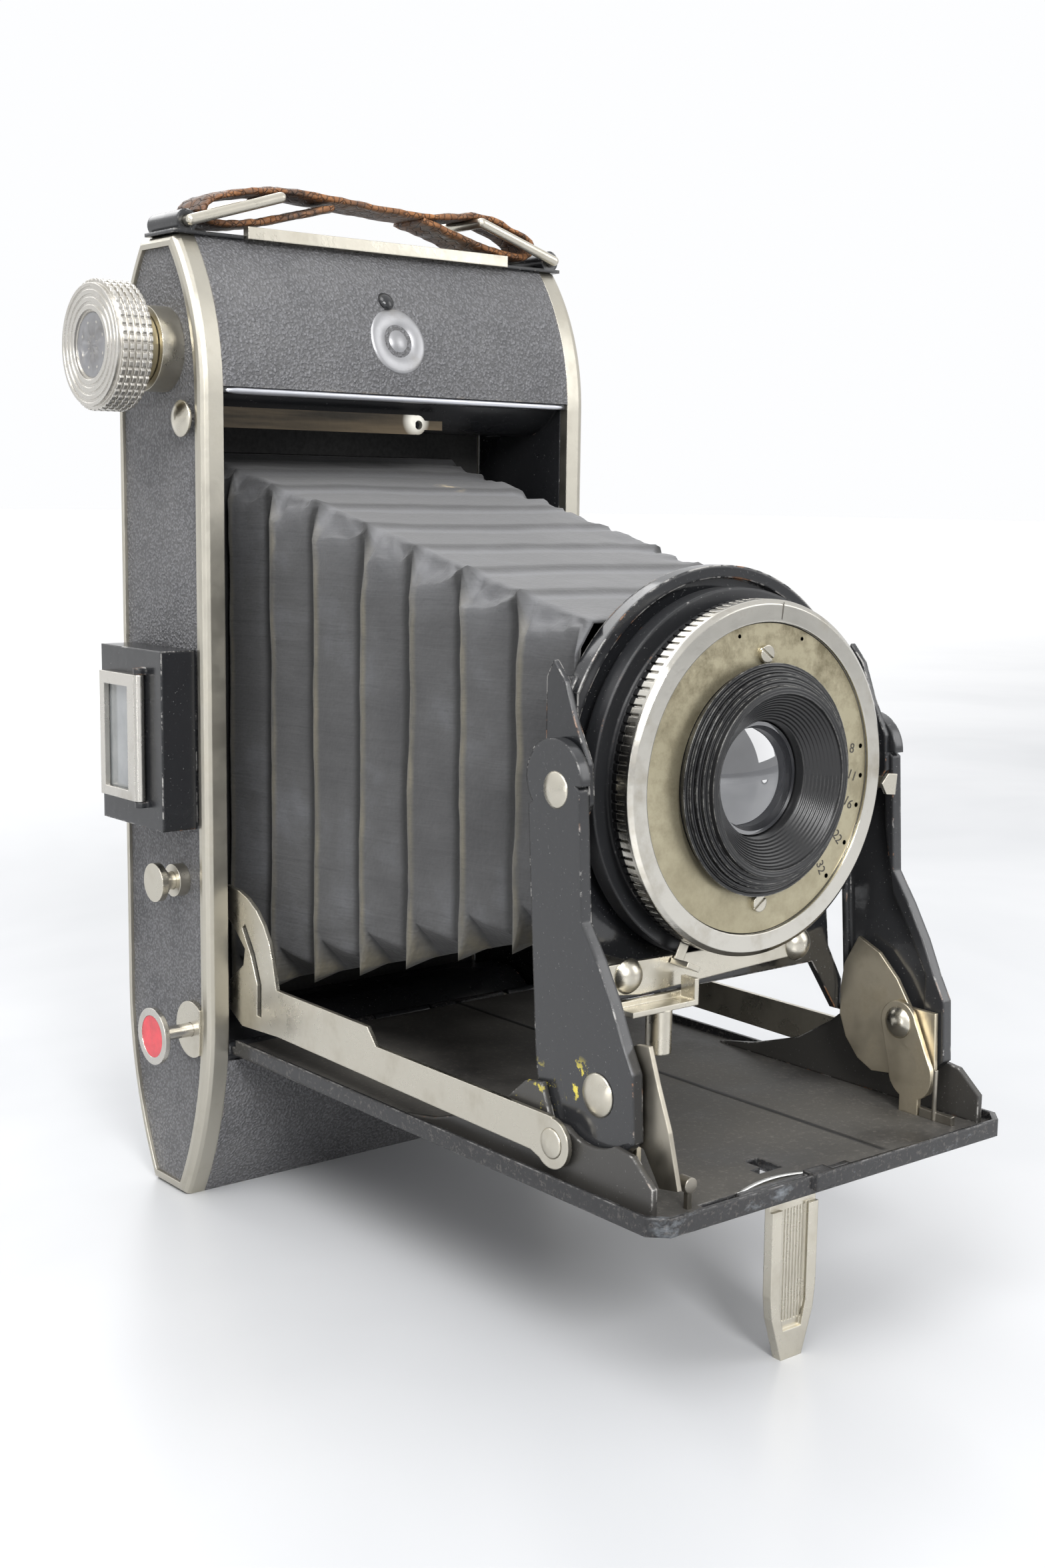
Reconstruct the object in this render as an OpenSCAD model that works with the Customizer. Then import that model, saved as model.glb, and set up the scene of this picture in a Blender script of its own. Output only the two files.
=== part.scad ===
// Folding roll film camera, open on its bed, self-erecting lens standard.
// +X is to the viewer's right when facing the lens, +Z is up, and the lens looks along -Y.
// The origin is on the flat bottom end of the body. Lengths are in millimetres.

/* [Body] */
// Width of the body over the side rims
body_w = 82; // [80:0.5:86]
// Height of the body
body_h = 164; // [160:1:172]
// Depth of the body from the front face to the back cover
body_d = 29; // [28.5:0.5:32]
// Width of the bright rim seen from the front
rim_w = 4.2; // [3:0.1:5]
// Height of the rounded taper at the top end
top_taper = 26; // [22:1:30]
// Height of the rounded taper at the bottom end
bottom_taper = 34; // [30:1:38]
// Height of the front opening's upper edge
opening_top = 139.3; // [138:0.1:140]

/* [Bed] */
// Distance of the bed's front edge from the origin
bed_front = 120.8; // [120:0.1:122]
// Half width of the bed
bed_half_w = 36.4; // [36:0.1:36.5]
// Height of the top of the bed's side rims
bed_rim_top = 29.7; // [29.4:0.1:30]
// Width of the folding leg
leg_w = 9.4; // [8:0.1:11]

/* [Lens] */
// Height of the lens axis
lens_z = 82.2; // [82:0.1:82.5]
// Radius of the knurled outer ring
ring_r = 25.9; // [25:0.1:26.2]
// Radius of the engraved plate inside the ring
plate_r = 22.5; // [22:0.1:23]
// Radius of the black lens barrel
barrel_r = 17; // [16:0.1:18]

/* [Controls] */
// Radius of the film winding knob
knob_r = 10.5; // [9:0.1:11]
// Number of ridges in the knob's knurling
knob_ridges = 48; // [24:4:72]
// Width of the carrying strap
strap_w = 10; // [8:0.5:12]

/* [Hidden] */

$fn = 64;
fine = 160;
// Running clearance of a shaft in its hole, on the radius
fit = 0.05;

// Body side outline
body_mid = 0.5;
half_d = body_d / 2;
front_y = body_mid - half_d;
back_y = body_mid + half_d;
tip_half = 5.5;
half_w = body_w / 2;
open_half = half_w - rim_w;
rim_t = 2;
leather_t = 0.5;
skin_t = 0.7;
wall_step = 0.8;
plate_t = 2.2;
top_start = body_h - top_taper;
shoulder = half_d - tip_half;
function taper_radius(taper) = (pow(taper, 2) + pow(shoulder, 2)) / (2 * shoulder);
top_r = taper_radius(top_taper);
bottom_r = taper_radius(bottom_taper);

// Film chambers, gate and back
top_spool = [-1, 145.5];
bottom_spool = [0.5, 18.4];
flange_r = 10.6;
cradle_r = 11.2;
cradle_end_y = 7.2;
spool_half = 32.5;
core_r = 4;
spool_bore_r = 2.2;
gate_y = 10.2;
gate_half_w = 34.2;
gate_t = 1;
gate_low = 28.2;
gate_high = 135.2;
aperture_half_w = 28;
aperture_h = 82;
roller_r = 1.8;
roller_y = 9.6;
roller_top_z = 138.6;
roller_bottom_z = 26.1;
roller_half = 30;
trunnion_r = 0.7;
cap_edge = 5.5;
cap_y = 6;
cover_low = 8.2;
back_pin = [9, 6.85];
back_knuckle_r = 1.1;

// Bed hinge and bed
hinge = [-12.8, 27.6];
knuckle_r = 1.15;
pin_r = 0.6;
bed_rear = 14.2;
bed_low = 27.1;
bed_floor = 28.3;
bed_rim_t = 0.6;
leg_y = -113.6;
leg_hinge_z = 25.5;
leg_t = 1;
leg_x = -3.6;

// Struts and links
strut_pivot = [-104.9, 42.1];
board_pivot = [-95, 82.6];
strut_out = 33;
strut_in = 31.2;
strut_web = 0.8;
shank_r = 1.5;
link_pivot = [-98.4, 34.1];
link_in = 34.95;
link_t = 0.75;
ear_in = 33.4;
ear_t = 0.9;
lever_in = 30.1;
lever_t = 0.7;
bracket_x = 28.9;
bracket_t = 0.8;

// Lens standard
board_y = -91.4;
board_t = 1.2;
board_half = 30.8;
board_top_r = 30.4;
case_front = -97;
ring_front = -102.2;
ring_back = -98.4;
plate_back = 1.2;

// Controls on the left side
knob_out = 54;
knob_t = 6;
release_at = [-8.9, 134];
button_at = [-5, 56.5];
plunger_at = [-8.9, 31];
socket_x = -17.4;

// Posts that hold the crossbar below the shutter
post_x = [-21.3, 13.3];
post_z = 55.4;
bar_front = -97.7;

// Extrusions along the part's own axes; the flat shape's axes become Y, Z or X, Z.
module along_x(x0, x1) translate([x0, 0, 0]) rotate([90, 0, 90]) linear_extrude(x1 - x0) children();
module along_y(y0, y1) translate([0, y1, 0]) rotate([90, 0, 0]) linear_extrude(y1 - y0) children();
module rod_x(r, x0, x1, p) translate([x0, p[0], p[1]]) rotate([0, 90, 0]) cylinder(r = r, h = x1 - x0);
module rod_y(r, y0, y1, p) translate([p[0], y1, p[1]]) rotate([90, 0, 0]) cylinder(r = r, h = y1 - y0);
module both_sides() {
  children();
  mirror([1, 0, 0]) children();
}
module block(low, high) translate(low) cube(high - low);

// A shallow domed head on a plane x, pointing along +X
module dome_x(r, h, x, p) {
  ball = (r * r + h * h) / (2 * h);
  translate([x, p[0], p[1]]) rotate([0, 90, 0]) rotate_extrude() intersection() {
    translate([0, h - ball]) circle(r = ball, $fn = fine);
    square([r, h]);
  }
}

// Side outline of the body, moved inward by inset
module taper_outline(radius, inset) intersection() {
  translate([body_mid + radius - half_d, 0]) circle(r = radius - inset, $fn = 240);
  translate([body_mid - radius + half_d, 0]) circle(r = radius - inset, $fn = 240);
}
module body_profile(inset = 0) {
  inner = half_d - inset;
  translate([body_mid - inner, bottom_taper]) square([2 * inner, top_start - bottom_taper]);
  intersection() {
    translate([0, top_start]) taper_outline(top_r, inset);
    translate([body_mid - inner, top_start]) square([2 * inner, top_taper - inset]);
  }
  intersection() {
    translate([0, bottom_taper]) taper_outline(bottom_r, inset);
    translate([body_mid - inner, inset]) square([2 * inner, bottom_taper - inset]);
  }
}

// ---- Body ----
module cradle(center, low, high) intersection() {
  difference() {
    translate(center) circle(r = cradle_r + skin_t, $fn = fine);
    translate(center) circle(r = cradle_r, $fn = fine);
  }
  translate([front_y + 1.2, low]) square([cradle_end_y - front_y - 1.2, high - low]);
}
module back_zone() translate([cap_y, cap_edge]) square([half_d, body_h]);
module shell_section() {
  lip_z = opening_top - 1;
  difference() {
    body_profile(leather_t);
    body_profile(leather_t + skin_t);
    translate([-half_d - 5, 25.6]) square([2 * half_d + 10, lip_z - 25.6]);
    back_zone();
  }
  cradle(top_spool, 130, top_spool[1]);
  translate([front_y + 0.6, lip_z]) square([3.2, 0.8]);
  polygon([[front_y + 1.15, 25], [front_y + 1.6, 25], [-9.5, 22.6], [-9.5, 23.6],
    [front_y + 1.4, 26.3], [front_y + 0.9, 26.3], [front_y + 0.9, 25.62], [front_y + 1.15, 25.62]]);
  translate([cap_y, 133.9]) square([gate_y - cap_y, 0.8]);
}
// Lower film chamber wall, narrow enough for the side links to fold past it
module lower_chamber() along_x(-gate_half_w, gate_half_w) {
  cradle(bottom_spool, bottom_spool[1], 30);
  translate([6.9, gate_low - 0.05]) square([gate_y - 6.9, 0.7]);
}
module roller_ears() both_sides()
  block([roller_half + 2.9, roller_y - 1.4, 24.8], [gate_half_w, roller_y + 1.3, gate_low - 0.01]);
module left_wall_holes() {
  rod_x(2 + fit, -half_w, -open_half + 1, top_spool);
  rod_x(1.2 + fit, -half_w, -open_half + 1, release_at);
  rod_x(1.5 + fit, -half_w, -open_half + 1, button_at);
  rod_x(1.2 + fit, -half_w, -open_half + 1, plunger_at);
}
module body_shell() color("#1c1c1e") difference() {
  union() {
    along_x(-open_half, open_half) shell_section();
    both_sides() along_x(open_half, open_half + plate_t) body_profile(rim_t + 0.02);
    both_sides() along_x(open_half - wall_step, open_half) difference() {
      body_profile(leather_t);
      translate([-half_d - 5, 23.6]) square([2 * half_d + 10, opening_top - 24.6]);
      back_zone();
    }
    lower_chamber();
    roller_ears();
    for (x = [-36.7, -6, 24.7]) {
      rod_x(knuckle_r, x, x + 12, hinge);
      block([x, hinge[0] - 0.4, 25.9], [x + 12, hinge[0] + 0.8, hinge[1]]);
    }
    for (x = [-30, 10.3]) {
      rod_x(back_knuckle_r, x, x + 19.7, back_pin);
      block([x, back_pin[0] - 1.8, cap_edge - 0.5], [x + 19.7, back_pin[0] - 1.05, back_pin[1]]);
      block([x, back_pin[0] - 1.8, cap_edge + 0.02], [x + 19.7, back_pin[0] - 0.5, back_pin[1]]);
    }
  }
  rod_x(pin_r, -37, 37, hinge);
  rod_x(pin_r, -31, 31, back_pin);
  left_wall_holes();
  rod_x(trunnion_r + fit, -open_half - 1.5, open_half + 1.5, [roller_y, roller_top_z]);
  rod_x(trunnion_r + fit, -gate_half_w - 1, gate_half_w + 1, [roller_y, roller_bottom_z]);
}
module side_rims() color("#cfc9b8") both_sides() difference() {
  slices = [[-1.5, 0], [-0.8, 0.2], [-0.3, 0.6], [0, 1.2]];
  union() {
    along_x(open_half, half_w + slices[0][0]) body_profile();
    for (i = [0:2]) hull() for (s = [slices[i], slices[i + 1]])
      along_x(half_w + s[0] - 0.01, half_w + s[0]) body_profile(s[1]);
  }
  along_x(open_half - 1, half_w + 1) body_profile(rim_t);
}
module side_leather() color("#3c3d41") difference() {
  both_sides() along_x(open_half + plate_t, half_w - 0.6) body_profile(rim_t + 0.02);
  left_wall_holes();
}
module front_leather() color("#2a2a2d") along_x(-open_half, open_half) difference() {
  body_profile();
  body_profile(leather_t);
  translate([-half_d - 5, 25.6]) square([2 * half_d + 10, opening_top - 25.6]);
  back_zone();
}
module film_gate() color("#151515") difference() {
  block([-gate_half_w, gate_y, gate_low], [gate_half_w, gate_y + gate_t, gate_high]);
  block([-aperture_half_w, gate_y - 1, lens_z - aperture_h / 2],
    [aperture_half_w, gate_y + 2, lens_z + aperture_h / 2]);
}
module roller(z, pin_end) color("#b9b6ac") {
  rod_x(roller_r, -roller_half, roller_half, [roller_y, z]);
  rod_x(trunnion_r, -pin_end, pin_end, [roller_y, z]);
}
module roller_top() roller(roller_top_z, open_half + 1.2);
module roller_bottom() roller(roller_bottom_z, gate_half_w);
module hinge_pins() color("#a9a49a") {
  rod_x(pin_r, -36.7, 36.7, hinge);
  rod_x(pin_r, -30, 30, back_pin);
}
module link_studs() color("#b5afa0") both_sides()
  rod_x(1.6, open_half - wall_step, open_half, [-8.4, 47]);

// ---- Carrying handle ----
handle_y = -1;
loop_pin = [38.6, body_h + 2];
loop_wire_r = 0.9;
loop_len = 18;
loop_half = strap_w / 2 + 1.2;
strap_t = 1.2;
module handle_brackets() color("#232325") both_sides() difference() {
  union() {
    block([27.8, handle_y - 5, body_h], [41, handle_y + 5, body_h + 0.6]);
    rod_y(1.9, handle_y - 5, handle_y + 5, loop_pin);
  }
  rod_y(loop_wire_r + fit, handle_y - 9, handle_y + 9, loop_pin);
}
module handle_bar() color("#d5d0c2") {
  block([-27.6, handle_y - 6, body_h], [27.7, handle_y - 4.4, body_h + 2]);
  block([-27.6, handle_y - 4.4, body_h], [27.7, handle_y + 5, body_h + 0.7]);
}
module handle_loops() color("#d8d4c8") both_sides() translate([loop_pin[0], handle_y, loop_pin[1]])
  rotate([0, 17, 0]) translate([-loop_len, 0, 0]) {
    for (s = [-1, 1]) translate([0, s * loop_half, 0]) rotate([0, 90, 0])
      cylinder(r = loop_wire_r, h = loop_len);
    for (x = [0, loop_len]) translate([x, loop_half, 0]) rotate([90, 0, 0])
      cylinder(r = loop_wire_r, h = 2 * loop_half);
    for (x = [0, loop_len], s = [-1, 1]) translate([x, s * loop_half, 0]) sphere(r = loop_wire_r);
  }
// The band's middle line, as X and height over the body, and the turned-under ends
strap_line = [[-35, 4], [-32.6, 6.8], [-24.5, 8.7], [-19, 9.15], [-9, 8.8], [0, 8.3], [15, 8.3],
  [23, 9.1], [31, 7], [35, 4]];
strap_end = [[35, 4], [31, 2.9], [23, 3.9], [14, 6.2], [9, 8.2]];
module strap_run(line) for (i = [0:len(line) - 2]) hull() for (p = [line[i], line[i + 1]])
  translate([p[0], handle_y - strap_w / 2, body_h + p[1]]) rotate([-90, 0, 0])
    cylinder(r = strap_t / 2, h = strap_w, $fn = 12);
module handle_strap() color("#5a3a26") {
  strap_run(strap_line);
  both_sides() strap_run(strap_end);
}

// ---- Winding and side controls ----
module side_escutcheons() color("#c9c2b0") difference() {
  intersection() {
    union() {
      rod_x(7, -44.4, 0.6 - half_w, top_spool);
      rod_x(2.8, -42.4, 0.6 - half_w, button_at);
      rod_x(4.9, -41.4, 0.6 - half_w, plunger_at);
    }
    along_x(-knob_out, 0) body_profile(rim_t + 0.05);
  }
  left_wall_holes();
  translate([-4, 0, 0]) left_wall_holes();
}
module winding_knob() color("#cdc8bb") difference() {
  union() {
    rod_x(knob_r, -knob_out + 0.8, -knob_out + knob_t, top_spool);
    rod_x(knob_r - 0.7, -knob_out, -knob_out + 0.9, top_spool);
    rod_x(5.8, -knob_out + knob_t, -44.5, top_spool);
  }
  for (i = [0:3]) translate([-knob_out + 1.5 + 1.15 * i, top_spool[0], top_spool[1]]) rotate([0, 90, 0])
    difference() {
      cylinder(r = knob_r + 1, h = 0.45);
      translate([0, 0, -1]) cylinder(r = knob_r - 0.5, h = 3);
    }
  translate([-knob_out - 1, top_spool[0], top_spool[1]]) rotate([0, 90, 0]) {
    cylinder(r = 5.6, h = 1.6);
    for (r = [6.6, 7.8, 9]) difference() {
      cylinder(r = r + 0.25, h = 1.2);
      translate([0, 0, -1]) cylinder(r = r - 0.25, h = 3);
    }
  }
  for (i = [0:knob_ridges - 1]) translate([0, top_spool[0], top_spool[1]])
    rotate([360 * i / knob_ridges, 0, 0]) translate([-knob_out + knob_t / 2 + 0.3, 0, knob_r])
      rotate([45, 0, 0]) cube([knob_t + 2, 0.45, 0.45], center = true);
  rod_x(2, -knob_out + 3, -44, top_spool);
}
module winding_key() color("#a8a498") {
  rod_x(2, -knob_out + 3, -spool_half - 0.4, top_spool);
  difference() {
    rod_x(2.15, -spool_half - 0.4, -29.5, top_spool);
    for (s = [-1, 1]) translate([-31, top_spool[0] + s * 2.3, top_spool[1]])
      cube([3.2, 2.4, 6], center = true);
  }
}
module spool(center, shade) color(shade) difference() {
  union() {
    rod_x(core_r, -spool_half + 1, spool_half - 1, center);
    both_sides() rod_x(flange_r, spool_half - 1, spool_half, center);
  }
  both_sides() rod_x(spool_bore_r, 28, spool_half + 1, center);
}
module take_up_spool() spool(top_spool, "#3a3f44");
module supply_spool() spool(bottom_spool, "#3a3f44");
module spool_pins() color("#a8a498") {
  rod_x(spool_bore_r - fit, 29, open_half - wall_step, top_spool);
  both_sides() rod_x(spool_bore_r - fit, 29, open_half - wall_step, bottom_spool);
}
module release_button() color("#d5d0c2") {
  translate([-41.5, release_at[0], release_at[1]]) rotate([0, -90, 0]) rotate_extrude() intersection() {
    square([3, 1.5]);
    translate([0, -3.2]) circle(r = 4.7);
  }
  rod_x(1.2, -41.5, -36.45, release_at);
}
module latch_bar() color("#c0ab76") {
  block([-36.4, -10.3, 132.8], [4.5, -9.3, 136.2]);
  difference() {
    rod_y(1.7, -10.3, -9.3, [5, 134.5]);
    rod_y(0.8, -11, -9, [5.2, 134.5]);
  }
  block([6.4, -10.3, 133.7], [10.4, -9.3, 135.3]);
}
module side_button() color("#d5d0c2") {
  rod_x(3.3, -46, -44.8, button_at);
  rod_x(2.3, -44.8, -44, button_at);
  rod_x(1.5, -44, -37.8, button_at);
}
module red_plunger() color("#d5d0c2") difference() {
  union() {
    rod_x(4.85, -48.8, -47.9, plunger_at);
    rod_x(2, -47.9, -46.7, plunger_at);
    rod_x(1.2, -46.7, -37.8, plunger_at);
  }
  rod_x(3.6, -49.6, -48.4, plunger_at);
}
module red_dot() color("#d03a42") rod_x(3.58, -48.7, -48.4, plunger_at);

// ---- Folding finder ----
finder_face = 47.5;
finder_pin_r = 0.5;
front_pin = [-finder_face - 1, -5.6];
rear_pin = [-finder_face + 1.1, 5.3];
module upright(r, p, low, high) translate([p[0], p[1], low]) cylinder(r = r, h = high - low);
module finder_housing() color("#18181a") difference() {
  union() {
    block([-finder_face, -11.5, 66.2], [-half_w - 0.02, 9.5, 96.2]);
    for (z = [69.7, 92.1]) {
      block([front_pin[0], front_pin[1] - 0.9, z], [-finder_face + 0.1, front_pin[1] + 0.9, z + 1]);
      upright(0.9, front_pin, z, z + 1);
    }
  }
  block([-finder_face - 1, -5.2, 71.2], [-half_w - 2, 6.2, 91.6]);
  upright(finder_pin_r + fit, front_pin, 69, 94);
  upright(finder_pin_r + fit, rear_pin, 70.3, 92.5);
}
module finder_front_frame() color("#d5d0c2") {
  difference() {
    union() {
      block([-finder_face - 2, front_pin[1], 70.8], [-finder_face - 0.1, 6.5, 92]);
      upright(0.9, front_pin, 70.8, 92);
    }
    block([-finder_face - 3, -3.3, 72.4], [-finder_face - 0.8, 5, 89.9]);
    block([-finder_face - 1, -4.2, 71.8], [-finder_face, 5.6, 90.6]);
  }
  upright(finder_pin_r, front_pin, 69.7, 71);
  upright(finder_pin_r, front_pin, 91.8, 93.1);
}
module finder_front_glass() color("#9fb0b5") block([-finder_face - 0.78, -4.15, 71.85],
  [-finder_face - 0.15, 5.55, 90.55]);
module finder_eyepiece() color("#b5b0a2") {
  difference() {
    block([rear_pin[0] - 0.7, -0.4, 74], [rear_pin[0] + 0.7, rear_pin[1], 89]);
    block([rear_pin[0] - 2, 0.8, 76], [rear_pin[0] + 2, 4.2, 87]);
  }
  upright(finder_pin_r, rear_pin, 70.4, 92.4);
}
module finder_eye_glass() color("#9fb0b5") block([rear_pin[0] - 0.4, 0.82, 76.02],
  [rear_pin[0] + 0.4, 4.18, 86.98]);

// ---- Bed ----
module bed_plan(inset = 0) {
  corner = 2.4;
  half = bed_half_w - inset;
  front = -bed_front + inset;
  polygon([[-half, -bed_rear], [half, -bed_rear], [half, front + corner], [half - corner, front],
    [-half + corner, front], [-half, front + corner]]);
}
module bed_plate() color("#232325") difference() {
  union() {
    translate([0, 0, bed_low]) linear_extrude(bed_floor - bed_low) bed_plan();
    translate([0, 0, bed_floor]) linear_extrude(bed_rim_top - bed_floor) difference() {
      bed_plan();
      bed_plan(bed_rim_t);
      translate([-40, -bed_rear - 1.2]) square([80, 2]);
    }
    for (x = [-23.6, 6.4]) {
      rod_x(knuckle_r, x, x + 17.2, hinge);
      block([x, -bed_rear, bed_low], [x + 17.2, hinge[0], bed_low + 1]);
    }
    block([-7, -bed_front - 0.6, bed_floor - 0.6], [-3, -bed_front + 2, bed_rim_top + 0.25]);
    block([-20, -119.6, bed_floor], [2, -118.6, bed_rim_top - 0.3]);
    for (x = [leg_x - 6.6, leg_x + 5.2]) difference() {
      block([x, leg_y - 1.6, leg_hinge_z - 0.9], [x + 1.4, leg_y + 1.4, bed_low]);
      rod_x(0.6 + fit, x - 1, x + 3, [leg_y, leg_hinge_z]);
    }
  }
  rod_x(pin_r + fit, -37, 37, hinge);
  block([-9.6, -113, bed_low - 1], [-5, -111.2, bed_floor + 1]);
  block([-7.6, -111.3, bed_low - 1], [-5, -108, bed_floor + 1]);
  block([-25, -118.3, bed_low - 1], [-3, -116.6, bed_floor + 1]);
}
module bed_leather() color("#1a1a1c") difference() {
  translate([0, 0, bed_low - 0.5]) linear_extrude(0.5) bed_plan(1.2);
  block([leg_x - 7, leg_y - 2.4, 20], [leg_x + 7, leg_y + 2.4, 30]);
  block([-26, -118.8, 20], [-2, -116, 30]);
  block([-9.8, -113.2, 20], [-4.8, -107.8, 30]);
}
module link_ears() color("#232325") both_sides() difference() {
  along_x(ear_in, ear_in + ear_t) difference() {
    polygon([[-117.4, bed_floor], [-117.4, 32.6], [-113.4, 36], [-108.4, 36.6], [-96.6, 36.6],
      [-94.5, 41.5], [-91, 41], [-87.2, 37.8], [-80, 33.3], [-69.4, 29.9], [-62, bed_floor + 0.3],
      [-62, bed_floor]]);
    translate([strut_pivot[0], 44.5]) circle(r = 9.4);
  }
  rod_x(shank_r - 0.5, 30, 40, link_pivot);
}
module strut_brackets() color("#8f8a7c") difference() {
  union() {
    mirror([1, 0, 0]) along_x(bracket_x, bracket_x + bracket_t) {
      translate([strut_pivot[0] - 4.4, bed_floor]) square([8.8, strut_pivot[1] - bed_floor]);
      translate(strut_pivot) circle(r = 4.4);
    }
    along_x(bracket_x, bracket_x + bracket_t) {
      translate(strut_pivot) circle(r = 3.4);
      polygon([[-107.9, 43.6], [-101.9, 40.4], [-103.9, 32.4], [-111.2, 36.7]]);
      translate([-107.6, 34.6]) circle(r = 4.2);
      translate([-109.4, bed_floor]) square([3.6, 3]);
    }
  }
  both_sides() rod_x(shank_r, 28, 31, strut_pivot);
}
module bed_rivets() color("#d8d4c8") both_sides() {
  rod_x(shank_r, bracket_x, strut_out + 0.1, strut_pivot);
  dome_x(3.1, 1.1, strut_out + 0.1, strut_pivot);
  translate([2 * bracket_x, 0, 0]) mirror([1, 0, 0]) dome_x(2.5, 1.2, bracket_x, strut_pivot);
  rod_x(shank_r - 0.5, ear_in, link_in + link_t + 0.05, link_pivot);
  dome_x(2.2, 0.5, link_in + link_t + 0.05, link_pivot);
}
leg_foot = 2.1;
leg_recess = 2.7;
module leg_outline() polygon([[-leg_w / 2, leg_hinge_z], [leg_w / 2, leg_hinge_z],
  [leg_w / 2 - 0.1, 10], [leg_w / 2 - 0.5, 6.6], [leg_foot, 0], [-leg_foot, 0],
  [-leg_w / 2 + 0.5, 6.6], [-leg_w / 2 + 0.1, 10]]);
module leg() color("#d5d0c2") {
  face_y = leg_y - leg_t / 2;
  rod_x(0.6, leg_x - 6.4, leg_x + 6.4, [leg_y, leg_hinge_z]);
  difference() {
    union() {
      rod_x(0.9, leg_x - leg_w / 2, leg_x + leg_w / 2, [leg_y, leg_hinge_z]);
      along_y(face_y, leg_y + leg_t / 2) translate([leg_x, 0]) leg_outline();
    }
    // Fine ribs pressed into the recess
    for (i = [-3.5:3.5]) translate([leg_x + 0.64 * i, 0, 0])
      block([-0.14, face_y - 1, 5.6], [0.14, face_y + 0.2, 22.4]);
  }
  // Raised border and toe
  along_y(face_y - 0.6, face_y) translate([leg_x, 0]) difference() {
    leg_outline();
    polygon([[-leg_recess, 30], [leg_recess, 30], [leg_recess, 8], [1.9, 4.4], [-1.9, 4.4],
      [-leg_recess, 8]]);
    translate([-10, 22.6]) square([20, 10]);
  }
}
module lever_springs() color("#b5afa0") {
  rod_y(1.1, -117.2, -115.2, [-27, 31.6]);
  block([-27.4, -117, bed_floor], [-26.6, -116.2, 31]);
  translate([29, -112.6, bed_floor]) cylinder(r = 0.35, h = 8);
  block([bracket_x, -116, bed_floor], [bracket_x + 0.8, -109.8, bed_floor + 1.4]);
}

// ---- Struts, links and levers ----
module strut_face() {
  polygon([[-98.1, 84.1], [-98.9, 72], [-100.8, 61.8], [-104.1, 56.8], [-107.1, 53.2],
    [-108, 49.9], [-109.1, 39.4], [-108.9, 35], [-107.7, 33.3], [-105, 32.2], [-100.5, 32.2],
    [-96, 34.6], [-92.4, 40], [-91.6, 45], [-90.4, 62], [-89.2, 80]]);
  translate([-93.9, 84]) circle(r = 5.2);
}
module strut_flange() {
  polygon([[-99.8, 83], [-100.2, 76.6], [-100.9, 65.1], [-104.1, 60.5], [-107.2, 55.3],
    [-109.7, 50], [-111.7, 46.4], [-112.2, 37.1], [-109, 34.2], [-107.7, 33.3], [-108, 49.9],
    [-104.1, 56.8], [-100.8, 61.8], [-98.9, 72], [-98.1, 84.1]]);
  difference() {
    translate([-94.3, 83.6]) circle(r = 6);
    translate([-93.9, 83.2]) circle(r = 4.6);
    translate([-90, 70]) square([10, 30]);
    translate([-102, 70]) square([20, 13.6]);
  }
}
module struts() color("#161618") both_sides() difference() {
  union() {
    along_x(strut_out - strut_web, strut_out) strut_face();
    along_x(strut_in, strut_out) strut_flange();
    along_x(strut_in, strut_out)
      polygon([[-90.1, 80], [-91.4, 62], [-92.6, 45], [-91.6, 45], [-90.4, 62], [-89.2, 80]]);
  }
  rod_x(shank_r + fit, 30, 34, strut_pivot);
  rod_x(shank_r, 30, 34, board_pivot);
}
module strut_rivets() color("#d8d4c8") both_sides() {
  rod_x(shank_r, 28.9, strut_out, board_pivot);
  dome_x(2.6, 0.8, strut_out, board_pivot);
  rod_x(1.9, 28.4, 28.9, board_pivot);
}
module lever_hole() rod_x(shank_r + fit, 28, 34, strut_pivot);
module lock_lever_right() color("#a39c8c") difference() {
  along_x(lever_in, lever_in + lever_t)
    polygon([[-95.3, 53.8], [-92.6, 49], [-92, 45.1], [-92, 40.6], [-93.4, 37.1], [-96, 34.2],
      [-99, 32.8], [-103.1, 33.3], [-104.9, 30.6], [-107.8, 30], [-110.4, 31.6], [-111.5, 34],
      [-111.1, 44.6], [-106.1, 44.6], [-103.4, 48.5], [-99.6, 52]]);
  lever_hole();
}
module lock_lever_left() color("#a39c8c") mirror([1, 0, 0]) difference() {
  along_x(lever_in, lever_in + lever_t)
    polygon([[-109.9, 49.9], [-112.4, 50.2], [-114.1, 45.5], [-116.6, 39.4], [-118.6, 32],
      [-115, 31.4], [-111.8, 36], [-106, 36.6], [-100.4, 38.4], [-100.4, 45.6], [-106, 47.2]]);
  lever_hole();
}
module side_links() color("#cfc9b8") both_sides() difference() {
  along_x(link_in, link_in + link_t) difference() {
    union() {
      polygon([[-27.4, 40.8], [-53.8, 40.6], [-56.2, 38], [-98.4, 37.9], [-98.4, 30.6], [-94, 32.1],
        [-27.9, 33], [-16.5, 32.4], [-12.4, 34.6], [-12.5, 39.6], [-17, 43.1], [-17.6, 46], [-13.8, 49.4],
        [-11.6, 50.6], [-11.6, 56], [-15.6, 55.7], [-18.4, 54.8], [-21.2, 53.2], [-23.4, 51.1],
        [-25.2, 48.4], [-26.1, 45.8]]);
      translate(link_pivot) circle(r = 3.6);
    }
    polygon([[-17.7, 50.3], [-20.7, 45.9], [-22.8, 40.8], [-22.7, 35.2], [-21.3, 35.2], [-21.4, 40.5],
      [-19.4, 45.2], [-16.6, 49.5]]);
  }
  rod_x(shank_r - 0.5 + fit, 34, 37, link_pivot);
}

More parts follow.
